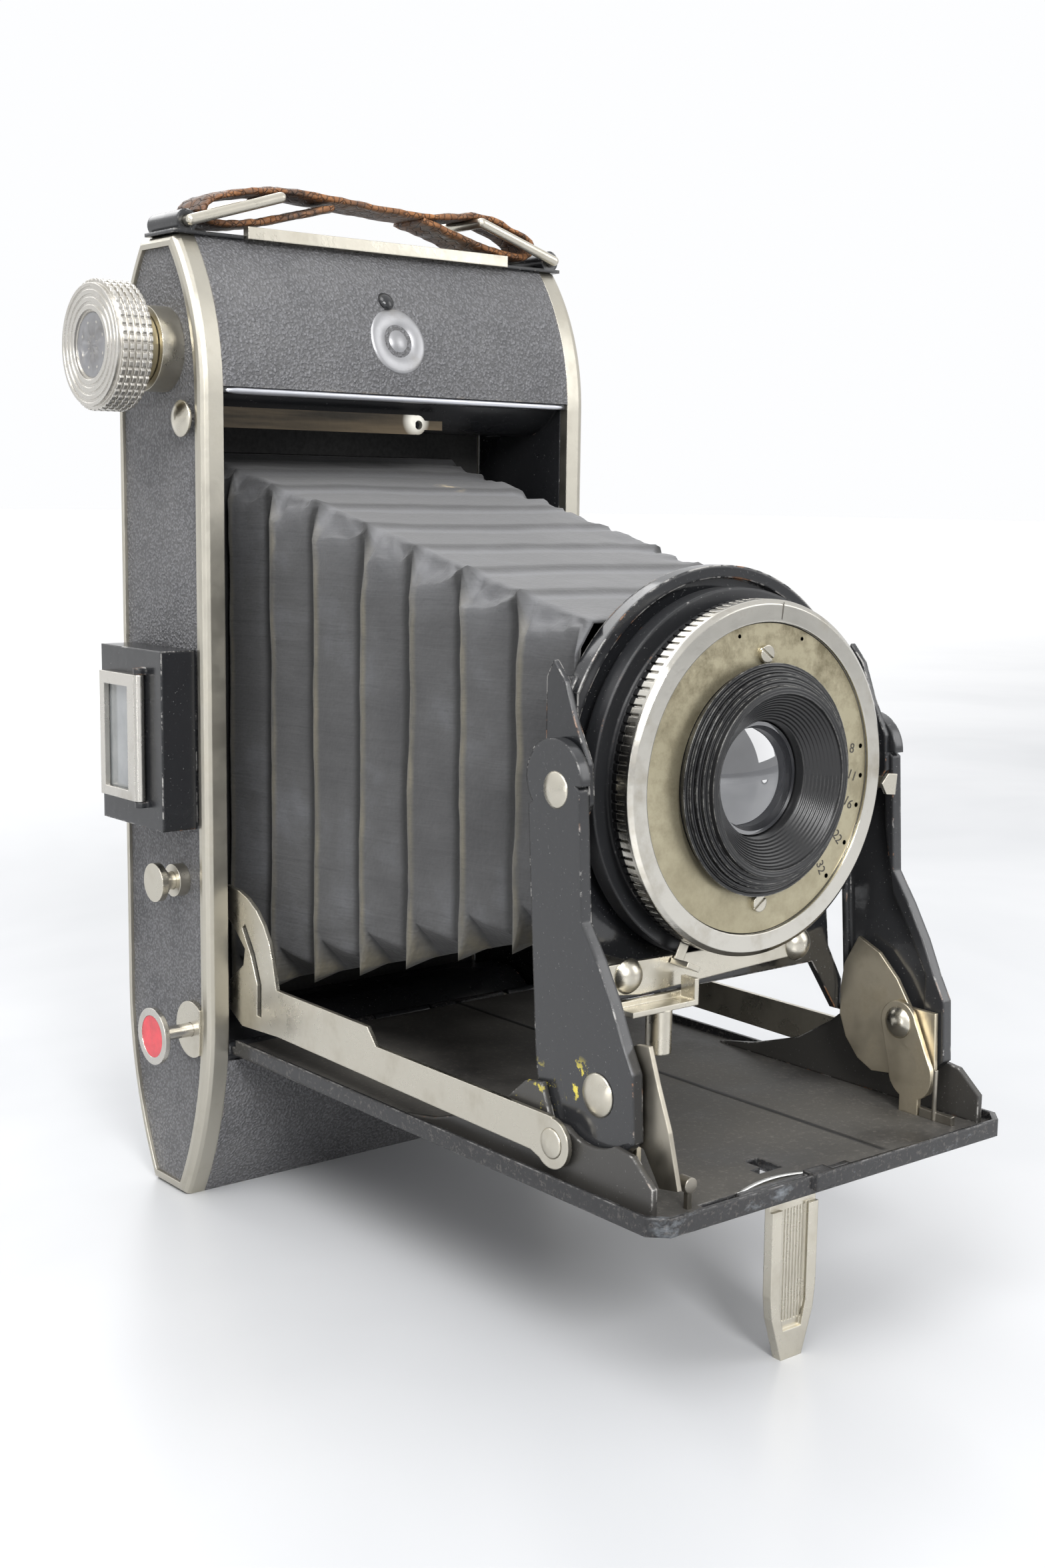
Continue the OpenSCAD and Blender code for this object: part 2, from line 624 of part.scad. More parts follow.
// ---- Lens standard ----
module board_outline(inset = 0) {
  side = board_half - inset;
  intersection() {
    translate([0, lens_z]) circle(r = board_top_r - inset, $fn = fine);
    translate([-40, 60]) square([80, 60]);
  }
  polygon([[-side, 97.6 - inset], [side, 97.6 - inset], [side, 76], [side - 3.4, 66], [side - 4.4, 60],
    [side - 3.4, 52], [side, 46], [side, 41 + inset], [side - 1.2, 41.4 + inset], [23.7, 49.9 + inset],
    [-23.7, 49.9 + inset], [-side + 1.2, 41.4 + inset], [-side, 41 + inset], [-side, 46],
    [-side + 3.4, 52], [-side + 4.4, 60], [-side + 3.4, 66], [-side, 76]]);
}
module lens_board() color("#141416") difference() {
  union() {
    along_y(board_y, board_y + board_t) board_outline();
    along_y(board_y - 1.4, board_y) intersection() {
      difference() {
        translate([0, lens_z]) circle(r = board_top_r, $fn = fine);
        translate([0, lens_z]) circle(r = board_top_r - 1.8, $fn = fine);
      }
      translate([-27.4, 90]) square([54.8, 40]);
    }
    both_sides() along_x(board_half - 0.9, board_half) polygon([[board_y + board_t, 97.6],
      [board_y - 0.2, 100], [-94.1, 97.3], [-96.3, 91.8], [-99.2, 86.4], [-99.6, 81], [-97, 77],
      [board_y, 74], [board_y + board_t, 74]]);
  }
  rod_y(12, board_y - 2, board_y + 3, [0, lens_z]);
  both_sides() rod_x(shank_r + fit, 28, 32, board_pivot);
}
module shutter_case() color("#19191b") difference() {
  union() {
    rod_y(25.4, case_front + 3.6, board_y, [0, lens_z]);
    rod_y(27.3, case_front + 0.8, case_front + 3.6, [0, lens_z]);
    rod_y(24.6, case_front, case_front + 0.8, [0, lens_z]);
    rod_y(22.6, ring_front + plate_back, case_front, [0, lens_z]);
  }
  rod_y(11, ring_front - 2, board_y + 2, [0, lens_z]);
  rod_y(barrel_r - 0.7, ring_front - 2, ring_front + 2.3, [0, lens_z]);
}
module knurled_ring() color("#d8d4c8") difference() {
  union() {
    rod_y(ring_r, ring_front + 0.5, ring_back, [0, lens_z]);
    translate([0, ring_front, lens_z]) rotate([-90, 0, 0]) rotate_extrude($fn = fine)
      polygon([[plate_r + 0.2, 0], [ring_r - 0.7, 0], [ring_r, 0.5], [plate_r + 0.2, 0.5]]);
  }
  rod_y(plate_r + 0.16, ring_front - 2, ring_back + 2, [0, lens_z]);
  for (i = [0:119]) translate([0, 0, lens_z]) rotate([0, 3 * i, 0])
    block([ring_r - 0.3, ring_front + 1.1, -0.2], [ring_r + 1, ring_back + 1, 0.2]);
}
module faceplate() color("#cfc6a2") difference() {
  rod_y(plate_r, ring_front + 0.5, ring_front + plate_back, [0, lens_z]);
  rod_y(barrel_r - 0.8, ring_front - 2, ring_front + 3, [0, lens_z]);
  for (s = [-1, 1]) rod_y(0.7, ring_front - 1, ring_front + 3, [0, lens_z + s * 18.1]);
}
module shutter_fasteners() color("#d8d4c8") {
  for (s = [-1, 1]) difference() {
    union() {
      rod_y(1.3, ring_front - 0.2, ring_front + 0.5, [0, lens_z + s * 18.1]);
      rod_y(0.68, ring_front + 0.5, ring_front + plate_back, [0, lens_z + s * 18.1]);
    }
    translate([0, ring_front - 0.2, lens_z + s * 18.1]) rotate([0, 35 * s, 0])
      cube([3, 0.6, 0.3], center = true);
  }
  for (x = post_x) {
    rod_y(1.15, bar_front, board_y, [x, post_z]);
    translate([x, bar_front, post_z]) rotate([0, 0, -90]) dome_x(2.6, 1.6, 0, [0, 0]);
  }
}
module lens_barrel() color("#101012") difference() {
  union() {
    rod_y(barrel_r - 0.9, -103.6, ring_front + 2.2, [0, lens_z]);
    for (i = [0:3]) rod_y(barrel_r - 0.1 - 0.7 * i, -103.4 - 0.55 * i, -103 - 0.55 * i, [0, lens_z]);
    rod_y(13.8, -106, -103.4, [0, lens_z]);
    rod_y(10.9, ring_front + 2.2, board_y + 1.9, [0, lens_z]);
  }
  translate([0, -106.5, lens_z]) rotate([-90, 0, 0]) rotate_extrude($fn = fine)
    polygon([[0, 0], [13, 0], [12.4, 1], [8.6, 4.4], [8.4, 6.4], [0, 6.4]]);
  rod_y(8.3, -101, board_y + 4, [0, lens_z]);
}
module lens_glass() color("#8fa3b0") {
  translate([0, -100.6, lens_z]) rotate([90, 0, 0]) rotate_extrude($fn = fine) intersection() {
    translate([0, -14.7]) circle(r = 16.6, $fn = fine);
    square([8.25, 3]);
  }
  rod_y(8.25, -100.6, -99.6, [0, lens_z]);
  rod_y(8.25, -91.6, -90.4, [0, lens_z]);
}
module shutter_blades() color("#3a3a3c") difference() {
  rod_y(8.25, -96.6, -96.2, [0, lens_z]);
  rod_y(3, -97, -96, [0, lens_z]);
}
module aperture_pointer() color("#cfc9b8") {
  difference() {
    rod_y(24.4, -97.7, -97.2, [0, lens_z]);
    rod_y(22.75, -99, -96, [0, lens_z]);
  }
  translate([0, 0, lens_z]) rotate([0, 6, 0]) {
    block([24, -97.7, -0.9], [29.6, -97.2, 0.9]);
    block([29, -101.6, -0.9], [29.6, -97.2, 0.9]);
    along_y(-102.2, -101.6) polygon([[26.3, 0], [27.6, 1.6], [29.6, 1.6], [29.6, -1.6], [27.6, -1.6]]);
  }
}
module crossbar() color("#cfc9b8") {
  difference() {
    along_y(bar_front, -97)
      polygon([[-25.4, 57.4], [-25.4, 53.2], [-19, 52.4], [15, 53.8], [16.2, 55.4], [15, 57]]);
    for (x = post_x) rod_y(1.2, -99, -96, [x, post_z]);
  }
  for (x = post_x) difference() {
    rod_y(2.1, -97, board_y, [x, post_z]);
    rod_y(1.2, -98, board_y + 1, [x, post_z]);
  }
}
module cable_socket() color("#cfc9b8") {
  block([-24, -98.9, 51.2], [-11.4, -98, 52.2]);
  block([-24, -101.8, 50.6], [-11.4, -98, 51.4]);
  block([-12.2, -101.8, 51.4], [-11.4, -98.9, 54.5]);
  difference() {
    translate([socket_x, -100, 44.3]) cylinder(r = 1.9, h = 6.3);
    translate([socket_x, -100, 44]) cylinder(r = 1.3, h = 5.6);
  }
}
module release_lever() color("#cfc9b8") difference() {
  translate([0, 0, lens_z]) rotate([0, 25, 0]) {
    block([-0.9, -98.2, -28.4], [0.9, -97.9, -22.9]);
    block([-1.3, -101.4, -29.2], [1.3, -97.9, -28.4]);
  }
  rod_y(22.8, -99, -97, [0, lens_z]);
}

// ---- Bellows: a pleated tube with chamfered corners, one skin outside and one inside ----
pleats = 8;
bellows_rear = gate_y - 0.35;
bellows_front = board_y + board_t + 0.5;
bellows_skin = 0.6;
pleat_depth = 2.4;
function mix(a, b, t) = a + (b - a) * t;
function bellows_ring(i, skin) =
  let (t = i / (2 * pleats),
    fold = (i % 2 == 0 ? 0 : pleat_depth) * (i == 0 || i == 2 * pleats ? 0 : 1),
    y = mix(bellows_rear, bellows_front, t),
    w = mix(30.2, 25.6, t) - fold - skin,
    top = mix(129.3, 105.4, t) - fold - skin,
    low = mix(30.2, 58.6, t) + fold + skin,
    c = 5 - skin / 2)
  [[w, y, low + c], [w, y, top - c], [w - c, y, top], [-w + c, y, top], [-w, y, top - c], [-w, y, low + c],
    [-w + c, y, low], [w - c, y, low]];
module bellows() color("#3e4143") {
  rings = 2 * pleats + 1;
  points = concat([for (i = [0:rings - 1]) each bellows_ring(i, 0)],
    [for (i = [0:rings - 1]) each bellows_ring(i, bellows_skin)]);
  base = 8 * rings;
  outer = [for (i = [0:rings - 2]) for (k = [0:7])
    let (a = 8 * i + k, b = 8 * i + (k + 1) % 8) [a, b, b + 8, a + 8]];
  inner = [for (f = outer) [for (j = [3:-1:0]) base + f[j]]];
  rear = [for (k = [0:7]) [(k + 1) % 8, k, base + k, base + (k + 1) % 8]];
  last = 8 * (rings - 1);
  front = [for (k = [0:7]) [last + k, last + (k + 1) % 8, base + last + (k + 1) % 8, base + last + k]];
  polyhedron(points = points, faces = concat(outer, inner, rear, front), convexity = 10);
}

// ---- Back ----
module cover_zone() translate([cap_y + 0.4, cover_low]) square([half_d, body_h]);
module back_cover() color("#1c1c1e") difference() {
  union() {
    along_x(-open_half + 0.2, open_half - 0.2) intersection() {
      difference() {
        body_profile(leather_t);
        body_profile(leather_t + skin_t);
      }
      cover_zone();
    }
    rod_x(back_knuckle_r, -9.9, 9.9, back_pin);
    block([-9.9, back_pin[0] - 0.3, back_pin[1]], [9.9, back_pin[0] + 0.35, cover_low + 0.5]);
  }
  rod_x(pin_r + fit, -31, 31, back_pin);
  rod_y(3.5, back_y - 4, back_y + 1, [0, 60]);
}
module back_leather() color("#3c3d41") difference() {
  along_x(-open_half + 0.2, open_half - 0.2) intersection() {
    difference() {
      body_profile();
      body_profile(leather_t);
    }
    cover_zone();
  }
  rod_y(4, back_y - 2, back_y + 1, [0, 60]);
}
module red_window() color("#8c1f1f") {
  rod_y(3.48, back_y - leather_t - skin_t, back_y - leather_t, [0, 60]);
}
module pressure_plate() color("#8f8a7c") {
  block([-30, 11.9, lens_z - 43], [30, 12.7, lens_z + 43]);
  for (z = [lens_z - 25, lens_z + 25]) block([-12, 12.7, z - 3], [12, back_y - leather_t - skin_t, z + 3]);
}
module back_latch() color("#d5d0c2") {
  block([-5, 4.3, body_h + 0.03], [5, 7.4, body_h + 0.8]);
  for (x = [-3:1.5:3]) block([x - 0.3, 4.6, body_h + 0.8], [x + 0.3, 7.1, body_h + 1.2]);
}

body_shell();
side_rims();
side_leather();
front_leather();
film_gate();
roller_top();
roller_bottom();
hinge_pins();
link_studs();
handle_brackets();
handle_bar();
handle_loops();
handle_strap();
side_escutcheons();
winding_knob();
winding_key();
take_up_spool();
supply_spool();
spool_pins();
release_button();
latch_bar();
side_button();
red_plunger();
red_dot();
finder_housing();
finder_front_frame();
finder_front_glass();
finder_eyepiece();
finder_eye_glass();
bed_plate();
bed_leather();
link_ears();
strut_brackets();
bed_rivets();
leg();
lever_springs();
struts();
strut_rivets();
lock_lever_left();
lock_lever_right();
side_links();
lens_board();
shutter_case();
knurled_ring();
faceplate();
shutter_fasteners();
lens_barrel();
lens_glass();
shutter_blades();
aperture_pointer();
crossbar();
cable_socket();
release_lever();
bellows();
back_cover();
back_leather();
red_window();
pressure_plate();
back_latch();
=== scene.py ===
"""Folding camera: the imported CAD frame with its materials, soft parts and small trim."""
import bpy, bmesh, math
from mathutils import Matrix, Vector, noise
from mathutils.bvhtree import BVHTree


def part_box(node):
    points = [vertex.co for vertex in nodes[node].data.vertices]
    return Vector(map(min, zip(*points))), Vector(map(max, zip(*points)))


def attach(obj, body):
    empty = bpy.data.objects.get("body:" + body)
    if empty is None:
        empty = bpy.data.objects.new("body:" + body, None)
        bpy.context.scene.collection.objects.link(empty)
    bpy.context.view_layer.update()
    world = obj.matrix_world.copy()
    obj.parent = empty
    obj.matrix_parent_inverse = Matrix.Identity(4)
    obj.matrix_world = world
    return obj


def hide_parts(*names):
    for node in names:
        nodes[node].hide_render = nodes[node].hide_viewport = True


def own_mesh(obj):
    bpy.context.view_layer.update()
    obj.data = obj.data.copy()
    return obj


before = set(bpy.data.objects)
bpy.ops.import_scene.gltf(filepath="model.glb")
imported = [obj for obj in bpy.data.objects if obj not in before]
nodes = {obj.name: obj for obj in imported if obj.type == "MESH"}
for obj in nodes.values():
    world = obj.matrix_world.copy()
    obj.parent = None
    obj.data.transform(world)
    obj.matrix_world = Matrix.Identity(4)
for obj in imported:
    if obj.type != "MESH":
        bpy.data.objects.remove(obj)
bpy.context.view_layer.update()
MM = 0.001


def node_box(name):
    """The low and high corners of a CAD node, in millimetres."""
    low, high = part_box(name)
    return low / MM, high / MM


# ---- Camera and studio ----
LENS_FOCAL = 44.24
SENSOR = 36.0
VIEW_YAW = math.radians(39.16)
VIEW_PITCH = math.radians(8.38)
VIEW_ROLL = math.radians(0.77)
EYE = Vector((-0.20015, -0.29311, 0.12152))


def add_camera():
    """The viewpoint: yaw from +Y towards +X, looking slightly down."""
    forward = Vector((math.sin(VIEW_YAW) * math.cos(VIEW_PITCH),
                      math.cos(VIEW_YAW) * math.cos(VIEW_PITCH), -math.sin(VIEW_PITCH)))
    level = Vector((math.cos(VIEW_YAW), -math.sin(VIEW_YAW), 0))
    above = level.cross(forward)
    right = level * math.cos(VIEW_ROLL) + above * math.sin(VIEW_ROLL)
    up = above * math.cos(VIEW_ROLL) - level * math.sin(VIEW_ROLL)
    data = bpy.data.cameras.new("view")
    data.lens = LENS_FOCAL
    data.sensor_fit = "VERTICAL"
    data.sensor_height = SENSOR
    data.clip_start = 0.01
    camera = bpy.data.objects.new("view", data)
    turn = Matrix((right, up, -forward)).transposed().to_4x4()
    camera.matrix_world = Matrix.Translation(EYE) @ turn
    bpy.context.collection.objects.link(camera)
    bpy.context.scene.camera = camera


def add_area(name, place, target, size, power):
    """A soft rectangular light at a place in metres, turned towards its target."""
    data = bpy.data.lights.new(name, "AREA")
    data.shape = "RECTANGLE"
    data.size, data.size_y = size
    data.energy = power
    light = bpy.data.objects.new(name, data)
    light.location = place
    aim = Vector(target) - Vector(place)
    light.rotation_euler = aim.to_track_quat("-Z", "Y").to_euler()
    bpy.context.collection.objects.link(light)


def add_world():
    """White behind and above the object, greyer on the side of the viewer."""
    world = bpy.data.worlds.new("studio")
    bpy.context.scene.world = world
    world.use_nodes = True
    tree = world.node_tree
    place = tree.nodes.new("ShaderNodeTexCoord")
    split = tree.nodes.new("ShaderNodeSeparateXYZ")
    tree.links.new(place.outputs["Generated"], split.inputs[0])
    parts = []
    blends = [("Y", -0.35, 0.3, 0.74, 1.0), ("Z", 0.25, 0.95, 1.0, 1.45)]
    for letter, low, high, dark, light in blends:
        part = tree.nodes.new("ShaderNodeMapRange")
        part.interpolation_type = "SMOOTHSTEP"
        for name, value in (("From Min", low), ("From Max", high), ("To Min", dark), ("To Max", light)):
            part.inputs[name].default_value = value
        tree.links.new(split.outputs[letter], part.inputs["Value"])
        parts.append(part)
    product = tree.nodes.new("ShaderNodeMath")
    product.operation = "MULTIPLY"
    for socket, part in zip(product.inputs, parts):
        tree.links.new(part.outputs["Result"], socket)
    back = tree.nodes["Background"]
    back.inputs["Color"].default_value = (0.985, 0.99, 1.0, 1)
    tree.links.new(product.outputs[0], back.inputs["Strength"])


def add_studio():
    """A pale floor, a soft white surround and five soft lights."""
    add_world()
    middle = (0, -0.04, 0.08)
    add_area("key", (-0.5, -0.3, 0.9), middle, (0.6, 0.6), 6)
    add_area("window", (-0.38, -0.98, 0.6), (0, -0.1, 0.08), (0.24, 0.34), 10)
    add_area("fill", (0.76, -0.72, 0.47), (0, -0.125, 0.082), (0.5, 0.6), 2.4)
    add_area("strip", (-0.9, -0.35, 0.12), middle, (0.05, 0.5), 1.0)
    add_area("rim", (0.1, 0.9, 0.8), middle, (0.9, 0.5), 4)
    mesh = bpy.data.meshes.new("floor")
    made = bmesh.new()
    reach = 14
    corners = [(-reach, -reach), (reach, -reach), (reach, reach), (-reach, reach)]
    made.faces.new([made.verts.new((x, y, 0)) for x, y in corners])
    made.to_mesh(mesh)
    made.free()
    floor = bpy.data.objects.new("floor", mesh)
    bpy.context.collection.objects.link(floor)
    look = Look("pale_floor")
    look.set(Roughness=look.ramp(look.noise(9, 3), [(0.3, 0.3), (0.7, 0.42)]))
    cloud = look.noise(5, 4, 0.55, twist=0.6)
    near = look.ramp(cloud, [(0.3, (0.43, 0.438, 0.45)), (0.6, (0.5, 0.505, 0.515))])
    look.color(look.mix(look.spots(look.axis("Y"), 0.25, 1.0), near, (0.93, 0.93, 0.93)))
    floor.data.materials.append(look.mat)


# ---- Materials ----
class Look:
    """A node material built in the object's own coordinates, which are metres of the frame."""

    def __init__(self, name):
        self.mat = bpy.data.materials.new(name)
        self.mat.use_nodes = True
        self.tree = self.mat.node_tree
        self.shader = self.tree.nodes["Principled BSDF"]
        self.where = self.tree.nodes.new("ShaderNodeTexCoord")
        self.place = self.where.outputs["Object"]
        self.height = None

    @classmethod
    def of(cls, mat):
        """Goes on with a material that is already built."""
        look = cls.__new__(cls)
        look.mat, look.tree = mat, mat.node_tree
        look.shader = look.tree.nodes["Principled BSDF"]
        look.where = next(n for n in look.tree.nodes if n.bl_idname == "ShaderNodeTexCoord")
        look.place = look.where.outputs["Object"]
        look.height = None
        return look

    def new(self, kind, **settings):
        """Adds a node."""
        node = self.tree.nodes.new(kind)
        for key, value in settings.items():
            setattr(node, key, value)
        return node

    def link(self, source, socket):
        self.tree.links.new(source, socket)

    def feed(self, value, socket):
        """Links another node's output to a socket, or stores a constant in it."""
        if isinstance(value, bpy.types.NodeSocket):
            self.link(value, socket)
        elif isinstance(value, tuple) and len(value) == 3 and socket.type == "RGBA":
            socket.default_value = (*value, 1)
        else:
            socket.default_value = value

    def set(self, **values):
        """Feeds the shader's inputs by name, with _ for a space."""
        for key, value in values.items():
            self.feed(value, self.shader.inputs[key.replace("_", " ")])

    def color(self, value):
        self.feed(value, self.shader.inputs["Base Color"])

    def noise(self, scale, detail=3, rough=0.5, stretch=None, twist=0.0):
        node = self.new("ShaderNodeTexNoise")
        node.inputs["Scale"].default_value = scale
        node.inputs["Detail"].default_value = detail
        node.inputs["Roughness"].default_value = rough
        node.inputs["Distortion"].default_value = twist
        self.link(self.stretched(stretch), node.inputs["Vector"])
        return node.outputs["Fac"]

    def cells(self, scale, feature, stretch=None):
        node = self.new("ShaderNodeTexVoronoi", feature=feature)
        node.inputs["Scale"].default_value = scale
        self.link(self.stretched(stretch), node.inputs["Vector"])
        return node.outputs["Distance"]

    def stretched(self, stretch):
        if stretch is None:
            return self.place
        node = self.new("ShaderNodeMapping")
        node.inputs["Scale"].default_value = stretch
        self.link(self.place, node.inputs["Vector"])
        return node.outputs["Vector"]

    def ramp(self, fac, stops):
        """A blend through (position, colour or grey) stops, in the order of their positions."""
        node = self.new("ShaderNodeValToRGB")
        band = node.color_ramp
        while len(band.elements) < len(stops):
            band.elements.new(0.5)
        for element, (at, shade) in zip(band.elements, sorted(stops, key=lambda stop: stop[0])):
            element.position = at
            element.color = (*shade, 1) if isinstance(shade, tuple) else (shade, shade, shade, 1)
        self.link(fac, node.inputs["Fac"])
        return node.outputs["Color"]

    def math(self, op, a, b=0.0, clamp=False):
        node = self.new("ShaderNodeMath", operation=op, use_clamp=clamp)
        self.feed(a, node.inputs[0])
        self.feed(b, node.inputs[1])
        return node.outputs[0]

    def mix(self, fac, a, b):
        node = self.new("ShaderNodeMix", data_type="RGBA")
        self.feed(fac, node.inputs[0])
        self.feed(a, node.inputs[6])
        self.feed(b, node.inputs[7])
        return node.outputs[2]

    def axis(self, letter, normal=False):
        """One coordinate of the place, in metres, or of the surface's direction."""
        node = self.new("ShaderNodeSeparateXYZ")
        self.link(self.where.outputs["Normal"] if normal else self.place, node.inputs[0])
        return node.outputs[letter]

    def edge(self, radius_mm, sharp=(0.02, 0.3)):
        """White along the edges of the shape, within about a radius of them."""
        soft = self.new("ShaderNodeBevel", samples=5)
        soft.inputs["Radius"].default_value = radius_mm * MM
        flat = self.new("ShaderNodeNewGeometry")
        dot = self.new("ShaderNodeVectorMath", operation="DOT_PRODUCT")
        self.link(soft.outputs["Normal"], dot.inputs[0])
        self.link(flat.outputs["Normal"], dot.inputs[1])
        away = self.math("SUBTRACT", 1.0, dot.outputs["Value"])
        return self.spots(away, *sharp)

    def spots(self, value, black, white):
        """Black at one value, white at the other, and a straight blend between them."""
        node = self.new("ShaderNodeMapRange")
        self.link(value, node.inputs["Value"])
        node.inputs["From Min"].default_value = black
        node.inputs["From Max"].default_value = white
        return node.outputs["Result"]

    def rounded(self, radius_mm):
        """Shades the sharp edges as if they were rounded; later bumps add to this."""
        soft = self.new("ShaderNodeBevel", samples=5)
        soft.inputs["Radius"].default_value = radius_mm * MM
        self.height = soft.outputs["Normal"]

    def near(self, spot_mm, reach_mm):
        """White within reach of a place, fading to black at its edge."""
        node = self.new("ShaderNodeVectorMath", operation="DISTANCE")
        self.link(self.place, node.inputs[0])
        node.inputs[1].default_value = [c * MM for c in spot_mm]
        return self.spots(node.outputs["Value"], reach_mm * MM, 0.35 * reach_mm * MM)

    def attribute(self, name):
        node = self.new("ShaderNodeAttribute", attribute_name=name)
        return node.outputs["Fac"]

    def bump(self, height, depth_mm):
        """Adds a relief on top of those already there."""
        node = self.new("ShaderNodeBump")
        node.inputs["Distance"].default_value = depth_mm * MM
        node.inputs["Strength"].default_value = 1.0
        self.link(height, node.inputs["Height"])
        if self.height is not None:
            self.link(self.height, node.inputs["Normal"])
        self.height = node.outputs["Normal"]
        self.link(self.height, self.shader.inputs["Normal"])

    def rings(self, middle, pitch_mm):
        """Fine turned grooves round an axis that runs along Y at X 0, Z middle."""
        x = self.axis("X")
        z = self.math("SUBTRACT", self.axis("Z"), middle)
        far = self.math("SQRT", self.math("ADD", self.math("MULTIPLY", x, x), self.math("MULTIPLY", z, z)))
        turns = self.math("MULTIPLY", far, 2 * math.pi / (pitch_mm * MM))
        return self.math("SINE", turns)


def nickel(name="nickel", tone=(0.56, 0.53, 0.455), rough=(0.2, 0.42), stain=0.5):
    """Old nickel plate: cloudy tarnish, a fine grain, and bright metal where the edges are rubbed."""
    look = Look(name)
    look.rounded(0.25)
    tarnish = look.noise(140, 5, 0.65)
    fine = look.noise(1900, 3, 0.6)
    worn = look.edge(0.35)
    dull = tuple(c * d for c, d in zip(tone, (0.62, 0.58, 0.5)))
    body = look.mix(look.spots(tarnish, 0.52, 0.52 + 0.3 / max(stain, 0.01)), tone, dull)
    bright = tuple(min(1, c * 1.18) for c in tone)
    look.color(look.mix(worn, body, bright))
    look.set(Metallic=1.0)
    look.set(Roughness=look.ramp(tarnish, [(0.3, rough[0]), (0.75, rough[1])]))
    look.bump(fine, 0.012)
    look.bump(look.noise(260, 2), 0.04)
    return look.mat


def two_part(look, mask, inner, rough):
    """Swaps the finish of a metal look where the mask is white."""
    base = look.shader.inputs["Base Color"].links[0].from_socket
    gloss = look.shader.inputs["Roughness"].links[0].from_socket
    look.color(look.mix(mask, base, inner))
    look.set(Roughness=look.mix(mask, gloss, (rough, rough, rough)))


def ring_metal():
    """Polished bezel with a brown bloom; its rear band is blackened."""
    mat = nickel("ring_nickel", (0.56, 0.54, 0.49), (0.12, 0.28), 0.9)
    look = Look.of(mat)
    low = node_box("knurled_ring")[0].y
    two_part(look, look.spots(look.axis("Y"), (low + 2.75) * MM, (low + 2.9) * MM), (0.02, 0.02, 0.021), 0.5)
    return mat


def knob_metal():
    """Knurled nickel knob on a brown brass collar."""
    mat = nickel("knob_nickel", (0.58, 0.56, 0.52), (0.2, 0.38), 0.6)
    look = Look.of(mat)
    two_part(look, look.spots(look.axis("X"), -0.0481, -0.0479), (0.3, 0.26, 0.17), 0.42)
    return mat


def enamel(name, chips, shade=(0.012, 0.0125, 0.014), rough=(0.1, 0.22)):
    """Gloss black paint: dust specks, a little waviness, and chips to bare or rusty metal along
    the edges, more of them as chips goes from 0 to 1."""
    look = Look(name)
    look.rounded(0.6)
    specks = look.spots(look.noise(2600, 2, 0.7), 0.68, 0.74)
    smear = look.noise(45, 4, 0.6)
    chipped = look.spots(look.noise(330, 4, 0.7), 0.62 - 0.3 * chips, 0.7 - 0.3 * chips)
    rub = look.math("MULTIPLY", look.edge(0.45, (0.03, 0.22)), chipped)
    metal = look.mix(look.spots(look.noise(120, 2), 0.56, 0.62), (0.62, 0.6, 0.57), (0.45, 0.2, 0.08))
    grey = look.mix(look.math("MULTIPLY", specks, 0.45), shade, (0.3, 0.3, 0.29))
    # Drops of yellow paint by the foot of the left strut
    splash = look.math("ADD", look.near((-33, -100.9, 42.8), 4), look.near((-33.5, -91.8, 39.6), 5), True)
    splash = look.math("MULTIPLY", splash, look.spots(look.noise(420, 4, 0.7), 0.56, 0.6))
    grey = look.mix(splash, grey, (0.6, 0.5, 0.06))
    look.color(look.mix(rub, grey, metal))
    gloss = look.ramp(smear, [(0.35, rough[0]), (0.7, rough[1])])
    look.set(Roughness=look.mix(rub, gloss, (0.5, 0.5, 0.5)))
    look.set(Specular_IOR_Level=0.6)
    look.bump(look.noise(420, 2), 0.03)
    look.bump(specks, 0.015)
    return look.mat


def leatherette():
    """Black pebbled covering: rounded grains, paler on their tops, partly from wear and partly a painted
    sheen of highlights.
    """
    look = Look("leatherette")
    grain_mm = 0.46
    pebbles = look.cells(1000 / grain_mm, "SMOOTH_F1")
    creases = look.cells(1000 / (grain_mm * 1.9), "DISTANCE_TO_EDGE")
    tops = look.ramp(pebbles, [(0.15, 1.0), (0.55, 0.0)])
    patches = look.noise(60, 4, 0.6)
    base = look.ramp(patches, [(0.3, (0.06, 0.06, 0.063)), (0.75, (0.11, 0.109, 0.11))])
    # Pale bluish grain tops: partly wear, partly painted highlight on the pebbles.
    tipped_wear_and_sheen = look.mix(look.math("MULTIPLY", tops, 0.42), base, (0.22, 0.22, 0.235))
    rub = look.math("MULTIPLY", look.edge(0.8, (0.05, 0.5)), look.spots(look.noise(300, 3), 0.5, 0.65))
    look.color(look.mix(rub, tipped_wear_and_sheen, (0.2, 0.17, 0.14)))
    look.set(Roughness=look.ramp(pebbles, [(0.1, 0.36), (0.6, 0.62)]))
    look.bump(tops, 0.16)
    look.bump(look.ramp(creases, [(0.0, 0.0), (0.08, 1.0)]), 0.05)
    return look.mat


